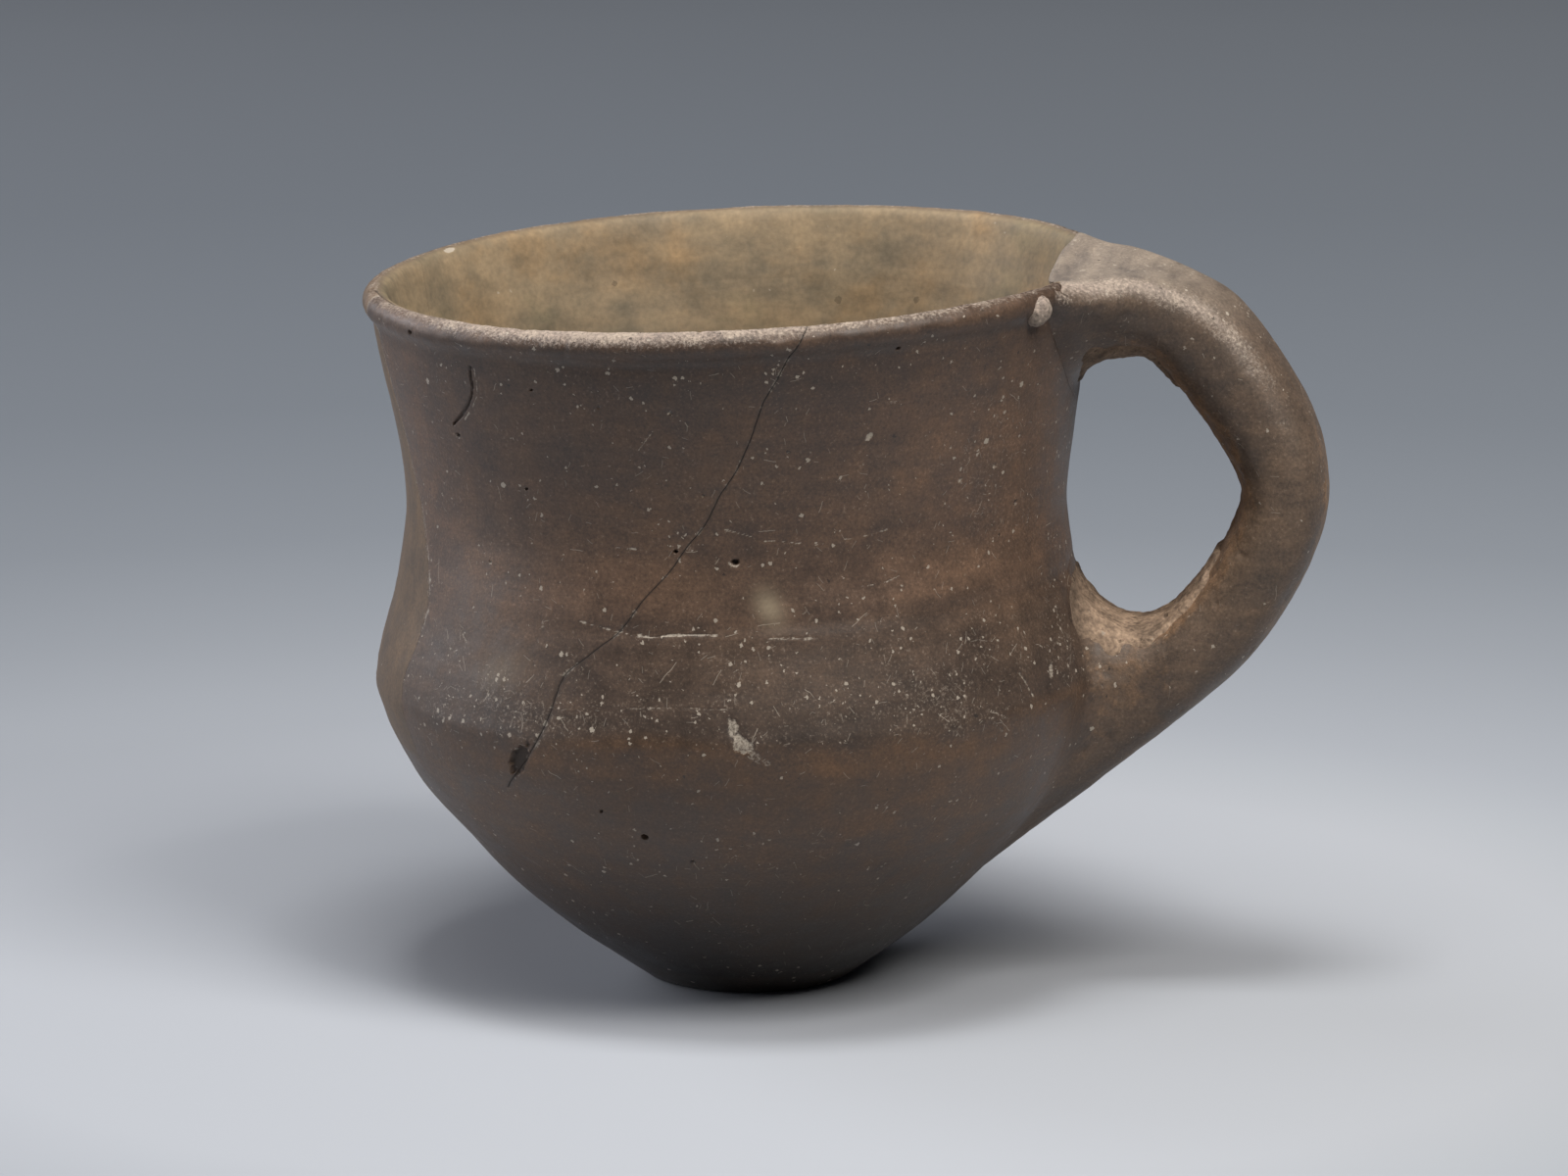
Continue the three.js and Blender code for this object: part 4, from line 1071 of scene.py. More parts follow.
def burnished_earthenware(colours):
    """Reduction-fired earthenware, rubbed with a pebble before firing.

    The rubbing gives a soft sheen in level streaks, the smoky fire its clouds of grey and brown, and
    wear lets pale grit show through, most of all round the belly.
    """
    name = "Burnished Reduced Earthenware"
    if name in bpy.data.materials:
        return bpy.data.materials[name]
    material, tree, shader, place = new_material(name)
    level, strap, tone, saddle, tan, gritty, smudge = (
        add_node(tree, "Attribute", out="Fac", attribute_name=name)
        for name in ("height", "strap", "tone", "saddle", "tan", "gritty", "smudge")
    )
    waves = add_node(tree, "TexNoise", {"Vector": place, "Scale": 1 / (22 * MM), "Detail": 4.0})
    level = add_node(tree, "Math", {0: waves, 1: 0.07, 2: level}, operation="MULTIPLY_ADD")
    # Colour by height: the cone, belly and neck, growing darker down the cone to the foot, which is painted
    # shade
    colour = add_node(tree, "ValToRGB", {"Fac": level}, stops=(
        (0.05, shade(colours.cone, 0.16)), (0.16, shade(colours.cone, 0.55)),
        (0.3, shade(colours.cone, 0.95)), (0.45, tuple(colours.cone)),
        (0.468, shade(colours.belly, 0.9)), (0.58, shade(colours.belly, 1.12)),
        (0.64, shade(colours.burnished, 1.1)), (0.75, tuple(colours.burnished)),
        (0.9, shade(colours.burnished, 0.95)), (0.99, shade(colours.burnished, 0.8)),
    ))
    colour = laid_over(tree, colour, strap, 1.0, tuple(colours.strap))
    # Smoke and wear tones from the table, with its painted shade and painted highlights
    tone = add_node(tree, "Math", {0: tone, 1: 0.5, 2: 0.5}, operation="MULTIPLY_ADD")
    colour = mottled(tree, colour, tone, "#8e8e90", "#dfd9d2", 0.0, 1.0)
    # Smoke clouds 20 mm wide, blotches 5 mm wide, and the grain of the clay, 0.45 mm
    colour, (_, blotches, grains) = weathered(
        tree, colour,
        (place, 20, 5.0, 0.6, "#adabac", "#c8c4be", 0.3, 0.7),
        (place, 5, 6.0, 0.7, "#a4a3a3", "#d1cbc5", 0.32, 0.68),
        (place, 0.45, 5.0, 0.7, "#959391", "#dedbd8", 0.3, 0.7),
    )
    # Level streaks of the rubbing, 16 mm long, left out on the saddle
    drawn_out = add_node(tree, "Mapping", {"Vector": place, "Scale": (1, 1, 10)})
    noise = {"Vector": drawn_out, "Scale": 1 / (16 * MM), "Detail": 6.0, "Roughness": 0.62}
    streaks = add_node(tree, "TexNoise", noise)
    streaks = add_node(tree, "Mix", {0: saddle, 2: streaks, 3: 0.5}, data_type="FLOAT")
    colour = mottled(tree, colour, streaks, "#aeadac", "#c9c6c2")
    # On the saddle, patches drawn out 12 mm across the strap
    patted = add_node(tree, "Mapping", {"Vector": place, "Scale": (1, 0.3, 1)})
    patches = (patted, 3.6, 5.0, 0.65, "#9c9998", "#d6d1ca", 0.34, 0.66)
    wiped, _ = weathered(tree, (*colours.saddle, 1), patches)
    wiped = mottled(tree, wiped, grains, "#9f9e9d", "#d8d5d2")
    colour = laid_over(tree, colour, saddle, 1.0, wiped)
    # The side of the strap that no pebble reached, its edge torn into steps of 2.6 mm
    torn_steps = (place, 2.6, 5.0, 0.65, "#96928f", "#dad4cd", 0.3, 0.7)
    unrubbed, (steps,) = weathered(tree, (*colours.tan, 1), torn_steps)
    bare = add_node(tree, "Math", {0: steps, 1: 1.1, 2: tan}, operation="MULTIPLY_ADD")
    bare = add_node(tree, "MapRange", {"Value": bare, "From Min": 0.85, "From Max": 1.3})
    unrubbed = mottled(tree, unrubbed, grains, "#a09e9b", "#d6d3d0")
    colour = laid_over(tree, colour, bare, 0.85, unrubbed)
    # How worn it is: in patches 9 mm wide, most on the belly and where the skin is gritty
    onto = {"Value": level, "From Min": 0.452, "From Max": 0.474}
    onto = add_node(tree, "MapRange", onto, interpolation_type="SMOOTHSTEP")
    off = {"Value": level, "From Min": 0.66, "From Max": 0.5}
    off = add_node(tree, "MapRange", off, interpolation_type="SMOOTHSTEP")
    belly = add_node(tree, "Math", {0: onto, 1: off}, operation="MULTIPLY")
    walls = add_node(tree, "Math", {0: 1.0, 1: strap}, operation="SUBTRACT")
    belly = add_node(tree, "Math", {0: belly, 1: walls}, operation="MULTIPLY")
    noise = {"Vector": place, "Scale": 1 / (9 * MM), "Detail": 4.0, "Roughness": 0.65}
    patches = add_node(tree, "TexNoise", noise)
    worn = {"Value": patches, "From Min": 0.38, "From Max": 0.66, "To Min": 0.1, "To Max": 0.85}
    worn = add_node(tree, "MapRange", worn, interpolation_type="SMOOTHSTEP")
    most = add_node(tree, "Math", {0: belly, 1: 0.62, 2: 0.38}, operation="MULTIPLY_ADD")
    most = add_node(tree, "Math", {0: saddle, 1: 0.4, 2: most}, operation="MULTIPLY_ADD")
    worn = add_node(tree, "Math", {0: worn, 1: most, 2: gritty}, operation="MULTIPLY_ADD")
    rough_place = shaken(tree, place)
    dust = chalky_dust(tree, grains, add_node(tree, "Math", {0: worn, 1: 0.62}, operation="MULTIPLY"))
    specks = scattered_grit(tree, rough_place, 1.1, 0.66, worn)
    few = add_node(tree, "Math", {0: worn, 1: 0.55}, operation="MULTIPLY")
    stones = scattered_grit(tree, rough_place, 2.4, 0.95, few)
    hairs = short_scratches(tree, place, 1.5, few)
    fewer = add_node(tree, "Math", {0: worn, 1: 0.3}, operation="MULTIPLY")
    gouges = short_scratches(tree, place, 3.6, fewer)
    for marks, strength in ((dust, 0.26), (hairs, 0.3), (gouges, 0.45), (specks, 0.72), (stones, 0.82)):
        colour = laid_over(tree, colour, marks, strength, tuple(colours.grit))
    holes = scattered_grit(tree, rough_place, 2.9, 0.65, 0.35)
    colour = laid_over(tree, colour, holes, 0.7, linear("#1c1613"))
    colour = laid_over(tree, colour, smudge, 1.0, tuple(colours.khaki))
    torn = add_node(tree, "Math", {0: bare, 1: steps}, operation="MULTIPLY")
    height = built_up(
        tree, (streaks, 0.3), (grains, 0.34), (blotches, 0.5), (stones, 0.15), (holes, -0.5),
        (hairs, -0.2), (torn, 1.6),
    )
    rough = {"Value": blotches, "From Min": 0.3, "From Max": 0.7, "To Min": 0.42, "To Max": 0.56}
    rough = add_node(tree, "MapRange", rough, interpolation_type="SMOOTHSTEP")
    rough = add_node(tree, "Math", {0: strap, 1: 0.08, 2: rough}, operation="MULTIPLY_ADD")
    rough = add_node(tree, "Math", {0: belly, 1: 0.05, 2: rough}, operation="MULTIPLY_ADD")
    for bared, dullness in ((bare, 0.85), (saddle, 0.68)):
        dull = add_node(tree, "Math", {0: bared, 1: dullness}, operation="MULTIPLY")
        rough = add_node(tree, "Math", {0: rough, 1: dull}, operation="MAXIMUM")
    finish_wall(tree, shader, place, colours, colour, height, rough)
    # A film of old dust pales the clay where it turns away
    shader.inputs["Sheen Weight"].default_value = 0.05
    shader.inputs["Sheen Roughness"].default_value = 0.5
    shader.inputs["IOR"].default_value = 1.6
    return material


def inside_earthenware(colours):
    """The same clay wiped with wet fingers inside, where the fire left it tan, ochre and grey-green."""
    name = "Wiped Oxidised Earthenware"
    if name in bpy.data.materials:
        return bpy.data.materials[name]
    material, tree, shader, place = new_material(name)
    level, smudge, tone, rolled = (
        add_node(tree, "Attribute", out="Fac", attribute_name=name)
        for name in ("height", "smudge", "tone", "rolled")
    )
    # Darker towards the bottom of the inside: painted shade
    colour = add_node(tree, "ValToRGB", {"Fac": level}, stops=(
        (0.04, shade(colours.inside, 0.45)), (0.4, shade(colours.inside, 0.6)),
        (0.75, shade(colours.inside, 0.88)), (0.95, shade(colours.inside, 1.12)),
    ))
    # Fire clouds 24 mm wide, warm and cool
    noise = {"Vector": place, "Scale": 1 / (24 * MM), "Detail": 5.0, "Roughness": 0.66}
    clouds = add_node(tree, "TexNoise", noise)
    warm = {"Value": clouds, "From Min": 0.5, "From Max": 0.68}
    warm = add_node(tree, "MapRange", warm, interpolation_type="SMOOTHSTEP")
    cool = {"Value": clouds, "From Min": 0.48, "From Max": 0.34}
    cool = add_node(tree, "MapRange", cool, interpolation_type="SMOOTHSTEP")
    colour = laid_over(tree, colour, warm, 0.36, tuple(colours.ochre))
    colour = laid_over(tree, colour, cool, 0.3, tuple(colours.green_grey))
    smudge = add_node(tree, "Math", {0: smudge, 1: clouds}, operation="MULTIPLY")
    colour = laid_over(tree, colour, smudge, 1.2, tuple(colours.ochre))
    # Tones from the same table, which also holds painted shade and painted highlights
    tone = add_node(tree, "Math", {0: tone, 1: 0.5, 2: 0.5}, operation="MULTIPLY_ADD")
    colour = mottled(tree, colour, tone, "#8a8d8a", "#dfd9d0", 0.0, 1.0)
    # Blotches 7 mm wide, level wiping marks 11 mm long, and the grain of the clay, 0.8 mm
    drawn_out = add_node(tree, "Mapping", {"Vector": place, "Scale": (1, 1, 2.5)})
    colour, (_, wiping, grains) = weathered(
        tree, colour,
        (place, 7, 6.0, 0.62, "#a8a8a6", "#cec8c0", 0.34, 0.66),
        (drawn_out, 11, 5.0, 0.6, "#aaa9a6", "#cbc6be", 0.34, 0.66),
        (place, 0.8, 4.0, 0.5, "#b1b0ae", "#c6c4c2", 0.3, 0.7),
    )
    rough_place = shaken(tree, place)
    specks = scattered_grit(tree, rough_place, 2.1, 0.7, 0.14)
    colour = laid_over(tree, colour, specks, 0.45, tuple(colours.grit))
    stains = scattered_grit(tree, rough_place, 4.2, 1.3, 0.3)
    colour = laid_over(tree, colour, stains, 0.4, linear("#3a3024"))
    # Over the crest the dark burnished skin comes round from the outside
    colour = laid_over(tree, colour, rolled, 0.62, shade(colours.burnished, 1.3))
    height = built_up(tree, (wiping, 0.7), (grains, 0.25))
    rough = {"Value": wiping, "From Min": 0.3, "From Max": 0.7, "To Min": 0.62, "To Max": 0.78}
    rough = add_node(tree, "MapRange", rough)
    finish_wall(tree, shader, place, colours, colour, height, rough)
    return material


def toned_fill(colours):
    """Plaster fill, rubbed smooth and toned with matt paint to sit back beside the old clay."""
    name = "Toned Plaster Fill"
    if name in bpy.data.materials:
        return bpy.data.materials[name]
    material, tree, shader, place = new_material(name)
    level = add_node(tree, "Attribute", out="Fac", attribute_name="height")
    colour = add_node(tree, "ValToRGB", {"Fac": level}, stops=(
        (0.34, shade(colours.fill, 0.7)), (0.5, shade(colours.fill, 0.9)), (0.75, tuple(colours.fill)),
        (0.95, shade(colours.fill, 0.95)),
    ))
    # Dabbed paint in blotches 7 mm wide, brush marks down the wall, and the plaster's 0.5 mm grain
    drawn_out = add_node(tree, "Mapping", {"Vector": place, "Scale": (1, 1, 0.3)})
    colour, (dabs, brushed, grains) = weathered(
        tree, colour,
        (place, 7, 5.0, 0.65, "#a5a4a6", "#cfc8be", 0.3, 0.7),
        (drawn_out, 3, 4.0, 0.5, "#b0afad", "#c9c5bf", 0.3, 0.7),
        (place, 0.5, 3.0, 0.5, "#abaaa8", "#cdcac6", 0.3, 0.7),
    )
    specks = scattered_grit(tree, shaken(tree, place), 2.2, 0.6, 0.3)
    colour = laid_over(tree, colour, specks, 0.5, tuple(colours.grit))
    height = built_up(tree, (brushed, 0.3), (grains, 0.2))
    rough = {"Value": dabs, "From Min": 0.3, "From Max": 0.7, "To Min": 0.48, "To Max": 0.62}
    rough = add_node(tree, "MapRange", rough)
    finish_wall(tree, shader, place, colours, colour, height, rough)
    return material


def rough_clay(colours):
    """Luting clay pressed in with a finger and never burnished: dry, torn and gritty to the eye."""
    name = "Rough Luting Clay"
    if name in bpy.data.materials:
        return bpy.data.materials[name]
    material, tree, shader, place = new_material(name)
    # Pressed lumps 3.2 mm wide, tears between them, and grains of 0.6 mm
    noise = {"Vector": place, "Scale": 1 / (3.2 * MM), "Detail": 6.0, "Roughness": 0.62}
    lumps = add_node(tree, "TexNoise", noise)
    colour = add_node(tree, "ValToRGB", {"Fac": lumps}, stops=(
        (0.3, shade(colours.rough, 0.36)), (0.42, shade(colours.rough, 0.66)), (0.55, tuple(colours.rough)),
        (0.7, shade(colours.rough, 1.28)),
    ))
    grain = (place, 0.6, 4.0, 0.5, "#9a9794", "#d9d6d2", 0.3, 0.7)
    colour, (grains,) = weathered(tree, colour, grain)
    stones = scattered_grit(tree, shaken(tree, place), 1.5, 0.8, 0.35)
    colour = laid_over(tree, colour, stones, 0.45, tuple(colours.grit))
    tears = add_node(tree, "TexNoise", {"Vector": place, "Scale": 1 / (1.6 * MM), "Detail": 4.0})
    torn = add_node(tree, "MapRange", {"Value": tears, "From Min": 0.6, "From Max": 0.7})
    colour = laid_over(tree, colour, torn, 0.65, linear("#2b211a"))
    # Darker where the wads lie in the handle's corners: painted shade
    painted_shade = add_node(tree, "Attribute", out="Fac", attribute_name="dark")
    colour = laid_over(tree, colour, painted_shade, 0.8, linear("#3f342b"))
    height = built_up(tree, (lumps, 1.4), (grains, 0.8), (torn, -1.0))
    rough = {"Value": grains, "From Min": 0.3, "From Max": 0.7, "To Min": 0.82, "To Max": 0.95}
    rough = add_node(tree, "MapRange", rough)
    finish(tree, shader, colour, height, rough, 0.16)
    return material


def make_walls(sizes, colours):
    pot = Pot(sizes)
    burnished, inside = burnished_earthenware(colours), inside_earthenware(colours)
    half = pot.half_crack

    def ring(turn):
        return lambda station, within: np.full(len(station), turn)

    make_wall(pot, "lower_bowl", "cone_earthenware", burnished, inside, (400, 58), FOOT_SEAM, BOWL_SEAM,
              ring(90.0), ring(450.0))
    start = pot.edge(pot.crack, 1, half, half / 2)
    end = pot.edge(pot.panel_far, -1, 0.05, 0.02, turns=1)
    for name, slot, grid, low, high in (
        ("belly_band", "dark_belly_earthenware", (350, 28), BOWL_SEAM, BELLY_SEAM),
        ("neck_wall", "burnished_earthenware", (320, 50), BELLY_SEAM, NECK_SEAM),
        ("rim_roll", "worn_rim_earthenware", (520, 24), NECK_SEAM, pot.crest),
    ):
        make_wall(pot, name, slot, burnished, inside, grid, low, high, start, end, (0,))
    make_wall(pot, "front_sherd", "burnished_earthenware", burnished, inside, (90, 96), BOWL_SEAM, pot.crest,
              pot.edge(pot.sherd_left, 1, 0.03, 0.02), pot.edge(pot.crack, -1, half, half / 2), (1,))
    fill = toned_fill(colours)
    make_wall(pot, "restored_panel", "toned_fill", fill, inside, (40, 90), BOWL_SEAM, pot.crest,
              pot.edge(pot.panel_far, 1, 0.05, 0.02), pot.edge(pot.sherd_left, -1, 0.03, 0.02))


def make_strainer_floor(sizes, colours):
    """The foot disc: a turned disc with two rings of holes pushed through from inside the cup."""
    pot = Pot(sizes)
    foot = pot.foot
    object_mode()
    bpy.ops.mesh.primitive_circle_add(vertices=132, radius=foot * MM, fill_type="NGON")
    piece = bpy.context.active_object
    piece.name = "strainer_floor_clay"
    piece.data.name = piece.name
    bpy.ops.object.mode_set(mode="EDIT")
    bpy.ops.mesh.select_all(action="SELECT")
    for _ in range(4):
        bpy.ops.mesh.extrude_region_move(TRANSFORM_OT_translate={"value": (0, 0, FOOT_SEAM / 4 * MM)})
    bpy.ops.mesh.inset(thickness=1.5 * MM)
    bpy.ops.transform.translate(value=(0, 0, 1.4 * MM))
    for _ in range(18):
        bpy.ops.mesh.inset(thickness=0.7 * MM)
    object_mode()
    edit_faces(piece, face_middles(piece)[:, 2] < 0.01 * MM)
    for _ in range(18):
        bpy.ops.mesh.inset(thickness=0.78 * MM)
    object_mode()
    places = vertex_places(piece) / MM
    x, y, z = places.T
    reach = np.hypot(x, y)
    angle = np.degrees(np.arctan2(y, x))
    side = abs(reach - foot) < 0.01
    places[side] = pot.surface(angle[side], np.maximum(z[side], 0.25))
    places[side, 2] = z[side]
    inner = (z > 4.9) & (reach > foot - 1.6)
    within = pot.surface(angle[inner], np.full(inner.sum(), 2 * pot.crest - FOOT_SEAM))
    grow = np.hypot(*within[:, :2].T).mean() / (foot - 1.5)
    upper = z > 4.9
    places[upper, :2] *= grow
    places[inner] = within
    pins = []
    for radius, count in ((5.2, sizes.inner_holes), (10, sizes.outer_holes)):
        turns = [2 * math.pi * i / count for i in range(count)]
        pins += [(radius * math.cos(turn), radius * math.sin(turn)) for turn in turns]
    away = np.min([np.hypot(places[:, 0] - x, places[:, 1] - y) for x, y in pins], axis=0)
    hole = sizes.hole_radius / MM
    rise = 0.28 * np.exp(-((away - hole - 0.4) / 0.45) ** 2) + 0.12 * clay_noise(places, 5, 31)
    rise += 0.05 * clay_noise(places, 1.2, 32)
    places[:, 2] += np.where(upper & ~inner, rise, 0)
    lower = (z < 0.1) & (reach < foot - 1.4)
    hollow = 0.25 + 0.1 * clay_noise(places, 4, 33) - 0.12 * np.exp(-((away - hole - 0.2) / 0.3) ** 2)
    places[:, 2] += np.where(lower, hollow, 0)
    move_vertices(piece, places * MM)
    object_mode()
    bpy.ops.mesh.primitive_cylinder_add(vertices=28, radius=sizes.hole_radius, depth=14 * MM)
    pin = bpy.context.active_object
    cutters = []
    for x, y in pins:
        copy = pin.copy()
        copy.data = pin.data.copy()
        copy.location = (x * MM, y * MM, 0)
        copy.rotation_euler = (0.03 * math.sin(5 * x), 0.03 * math.cos(7 * y), 0)
        bpy.context.collection.objects.link(copy)
        cutters.append(copy)
    bpy.data.objects.remove(pin)
    object_mode()
    for copy in cutters:
        copy.select_set(True)
    bpy.context.view_layer.objects.active = cutters[0]
    bpy.ops.object.join()
    cutter = bpy.context.active_object
    bpy.ops.object.transform_apply(location=True, rotation=True)
    object_mode()
    piece.select_set(True)
    bpy.context.view_layer.objects.active = piece
    cut = piece.modifiers.new("holes", "BOOLEAN")
    cut.operation = "DIFFERENCE"
    cut.object = cutter
    cut.solver = "EXACT"
    bpy.ops.object.modifier_apply(modifier=cut.name)
    bpy.data.objects.remove(cutter)
    places = vertex_places(piece) / MM
    middles = face_middles(piece)
    colour_marks(piece, height=places[:, 2] / FULL_HEIGHT)
    move_vertices(piece, leaned(places))
    hand_over(piece, "strainer_floor", "cone_earthenware",
              burnished_earthenware(colours), inside_earthenware(colours))
    piece.data.polygons.foreach_set("material_index", (middles[:, 2] > 4.3 * MM).astype(np.int32))
    close_piece(piece)


def make_handle_strap(sizes, colours):
    """The strap: a closed skin drawn out of the rim, over its arch and down onto the belly."""
    pot = Pot(sizes)
    strap = Strap(pot, sizes)
    buried = 5
    rows = strap.rows + 2 * buried
    piece = clay_sheet("handle_strap_clay", strap.sides, rows)
    x, y, _ = vertex_places(piece).T
    column = np.rint(x * strap.sides).astype(int) % strap.sides
    row = np.rint(y * rows).astype(int) - buried
    kept = np.clip(row, 0, strap.rows)
    points = strap.points[kept, column]
    along = strap.at[kept]
    left = strap.length - along
    turns = column * 360 / strap.sides
    free = smooth_step(np.minimum(along, left), 0, 9)
    lift = free * (0.22 * clay_noise(points, 9, 41) + 0.1 * clay_noise(points, 4, 42) - 0.16)
    lift += (0.25 + 0.75 * free) * 0.045 * clay_noise(points, 1.3, 43)
    top = smooth_step(np.sin(np.radians(turns)), 0.1, 0.6)
    saddle = top * smooth_step(along, 0.5, 3.0) * (1 - smooth_step(along, 14, 34))
    lift *= 1 - 0.6 * saddle
    pits = smooth_step(clay_noise(points, 1.8, 44), 0.66, 0.82) * smooth_step(free, 0.2, 0.8)
    # The side towards the hole was never rubbed: it stays torn, up to a ragged edge
    under = np.exp(-((turns - 266) / 54) ** 4)
    hidden = smooth_step(along, 4, 14) * smooth_step(left, 4, 10)
    torn = 0.16 * clay_noise(points, 2.6, 46) + 0.1 * clay_noise(points, 1.1, 47)
    points = points + strap.normals[kept, column] * (lift - 0.2 * pits + under * hidden * torn)[:, None]
    for which, (end_row, sign) in enumerate(((0, -1), (strap.rows, 1))):
        roots = strap.roots[which]
        sunk = np.flatnonzero(row * sign > end_row * sign)
        part = abs(row[sunk] - end_row) / buried
        middle = ROOT_MIDDLES[which]
        share = np.interp(part, (0, 0.2, 0.4, 0.7, 1), (1, 0.97, 0.8, 0.4, 0))
        depth = np.interp(part, (0, 0.2, 0.4, 1), (0, 0.9, 1.7, 1.9))
        angle = roots[column[sunk], 0] * share
        station = middle + (roots[column[sunk], 1] - middle) * share
        points[sunk] = pot.surface(angle, station, -depth)
    # Along the strap's near top edge: rubbed grit, and a painted highlight where the edge catches the light
    near_edge = np.exp(-((turns - 150) / 20) ** 2)
    speckled = 0.5 + 0.5 * clay_noise(points, 5, 45)
    saddle = np.maximum(saddle, 0.5 * near_edge * speckled * (1 - smooth_step(along, 20, 55)))
    spine = np.exp(-((turns - 96) / 28) ** 2) * smooth_step(along, 34, 50) * smooth_step(left, 24, 40)
    tan = np.maximum(0.8 * under * hidden, 0.62 * spine)
    corner = np.exp(-((turns - 190) / 38) ** 2) * smooth_step(left, 1, 6) * (1 - smooth_step(left, 14, 34))
    tan = np.maximum(tan, 0.4 * corner)
    fade = np.where(along < strap.length / 2, smooth_step(along, 0, 7), smooth_step(left, 0, 10))
    rim = strap.roots[0][column, 1]
    # The pale band along the near top edge is rubbed grit, and a painted highlight where the edge catches the
    # light
    worn = 0.85 * near_edge * smooth_step(along, 0, 2) * (1 - smooth_step(along, 16, 50))
    rolled_on = np.where(rim < pot.crest, smooth_step(rim, 104, 108), 0)
    worn = np.maximum(worn, 0.6 * rolled_on * (1 - smooth_step(along, 0, 8)))
    skin = np.column_stack([turns * 0.12, along, np.zeros(len(along))]) * MM
    height = points[:, 2] / FULL_HEIGHT
    colour_marks(piece, height=height, worn=worn, strap=fade, saddle=saddle, tan=tan, skin=skin)
    move_vertices(piece, leaned(points))
    hand_over(piece, "handle_strap", "handle_earthenware", burnished_earthenware(colours))
    close_piece(piece, recalculate=True)


def make_wad(strap, colours, name, edge, ahead, reach, proud, painted_shade, seed):
    """A lump of luting clay smeared over the strap's skin, its torn edge running down under it.

    It starts ahead millimetres from the strap's end and reaches along it. Edge gives how far round
    the strap it goes at each distance.
    """
    piece = clay_slab(name + "_clay", 130, int(reach / 0.33))
    x, y, z = vertex_places(piece).T
    distance = ahead + reach * y
    low = np.interp(distance, *np.array(edge, float).T)
    turns = low + (540 - 2 * low) * x
    along = strap.length - distance if name == "lower_luting_wad" else distance
    points, normals = strap.on_skin(turns, along)
    span = np.radians(540 - 2 * low) * 8.5
    inward = np.minimum.reduce([x * span, (1 - x) * span, y * reach, (1 - y) * reach])
    tongue = 1.8 * clay_noise(points, 6.5, seed) + 1.1 * clay_noise(points, 2.4, seed + 1)
    cover = smooth_step(inward + tongue, 0.6, 2.6)
    lumps = 0.2 * clay_noise(points, 3.4, seed + 2) + 0.14 * clay_noise(points, 1.3, seed + 3)
    lumps += 0.07 * clay_noise(points, 0.7, seed + 4)
    lift = np.where(z > 0.5, -0.5 + cover * (0.5 + proud + lumps), -1.9)
    # Darker over the whole upper wad, and on both wads close to where they meet the wall: painted shade in
    # the corners of the handle
    dark = np.maximum(painted_shade, 0.75 * (1 - smooth_step(distance, 2, 9)) * smooth_step(low, 183, 200))
    colour_marks(piece, height=points[:, 2] / FULL_HEIGHT, dark=dark)
    move_vertices(piece, leaned(points + normals * lift[:, None]))
    hand_over(piece, name, "rough_clay", rough_clay(colours))
    close_piece(piece, recalculate=True)


def make_rim_pellet(sizes, colours):
    """The pellet: a small ball of clay pressed on where the strap leaves the rim, and worn to grit."""
    object_mode()
    bpy.ops.mesh.primitive_ico_sphere_add(subdivisions=5, radius=1)
    piece = bpy.context.active_object
    piece.name = "rim_pellet_clay"
    piece.data.name = piece.name
    object_mode()
    places = vertex_places(piece)
    swell = 1 + 0.1 * clay_noise(places, 0.9, 51) + 0.07 * clay_noise(places, 0.4, 52)
    swell += 0.035 * clay_noise(places, 0.18, 53)
    x, y, z = (places * swell[:, None]).T
    flat = 1 - 0.12 * smooth_step(x, 0.4, 1)
    radial, across, up = 54.4 + 2.6 * x * flat, 2.2 * y, 104.8 + 2.3 * z
    turn = math.radians(-29.6)
    points = np.column_stack([
        radial * math.cos(turn) - across * math.sin(turn),
        radial * math.sin(turn) + across * math.cos(turn),
        up,
    ])
    colour_marks(piece, height=points[:, 2] / FULL_HEIGHT, worn=np.full(len(points), 1.0),
                 skin=places * 2.5 * MM)
    move_vertices(piece, leaned(points))
    hand_over(piece, "rim_pellet", "worn_rim_earthenware", burnished_earthenware(colours))
    close_piece(piece)


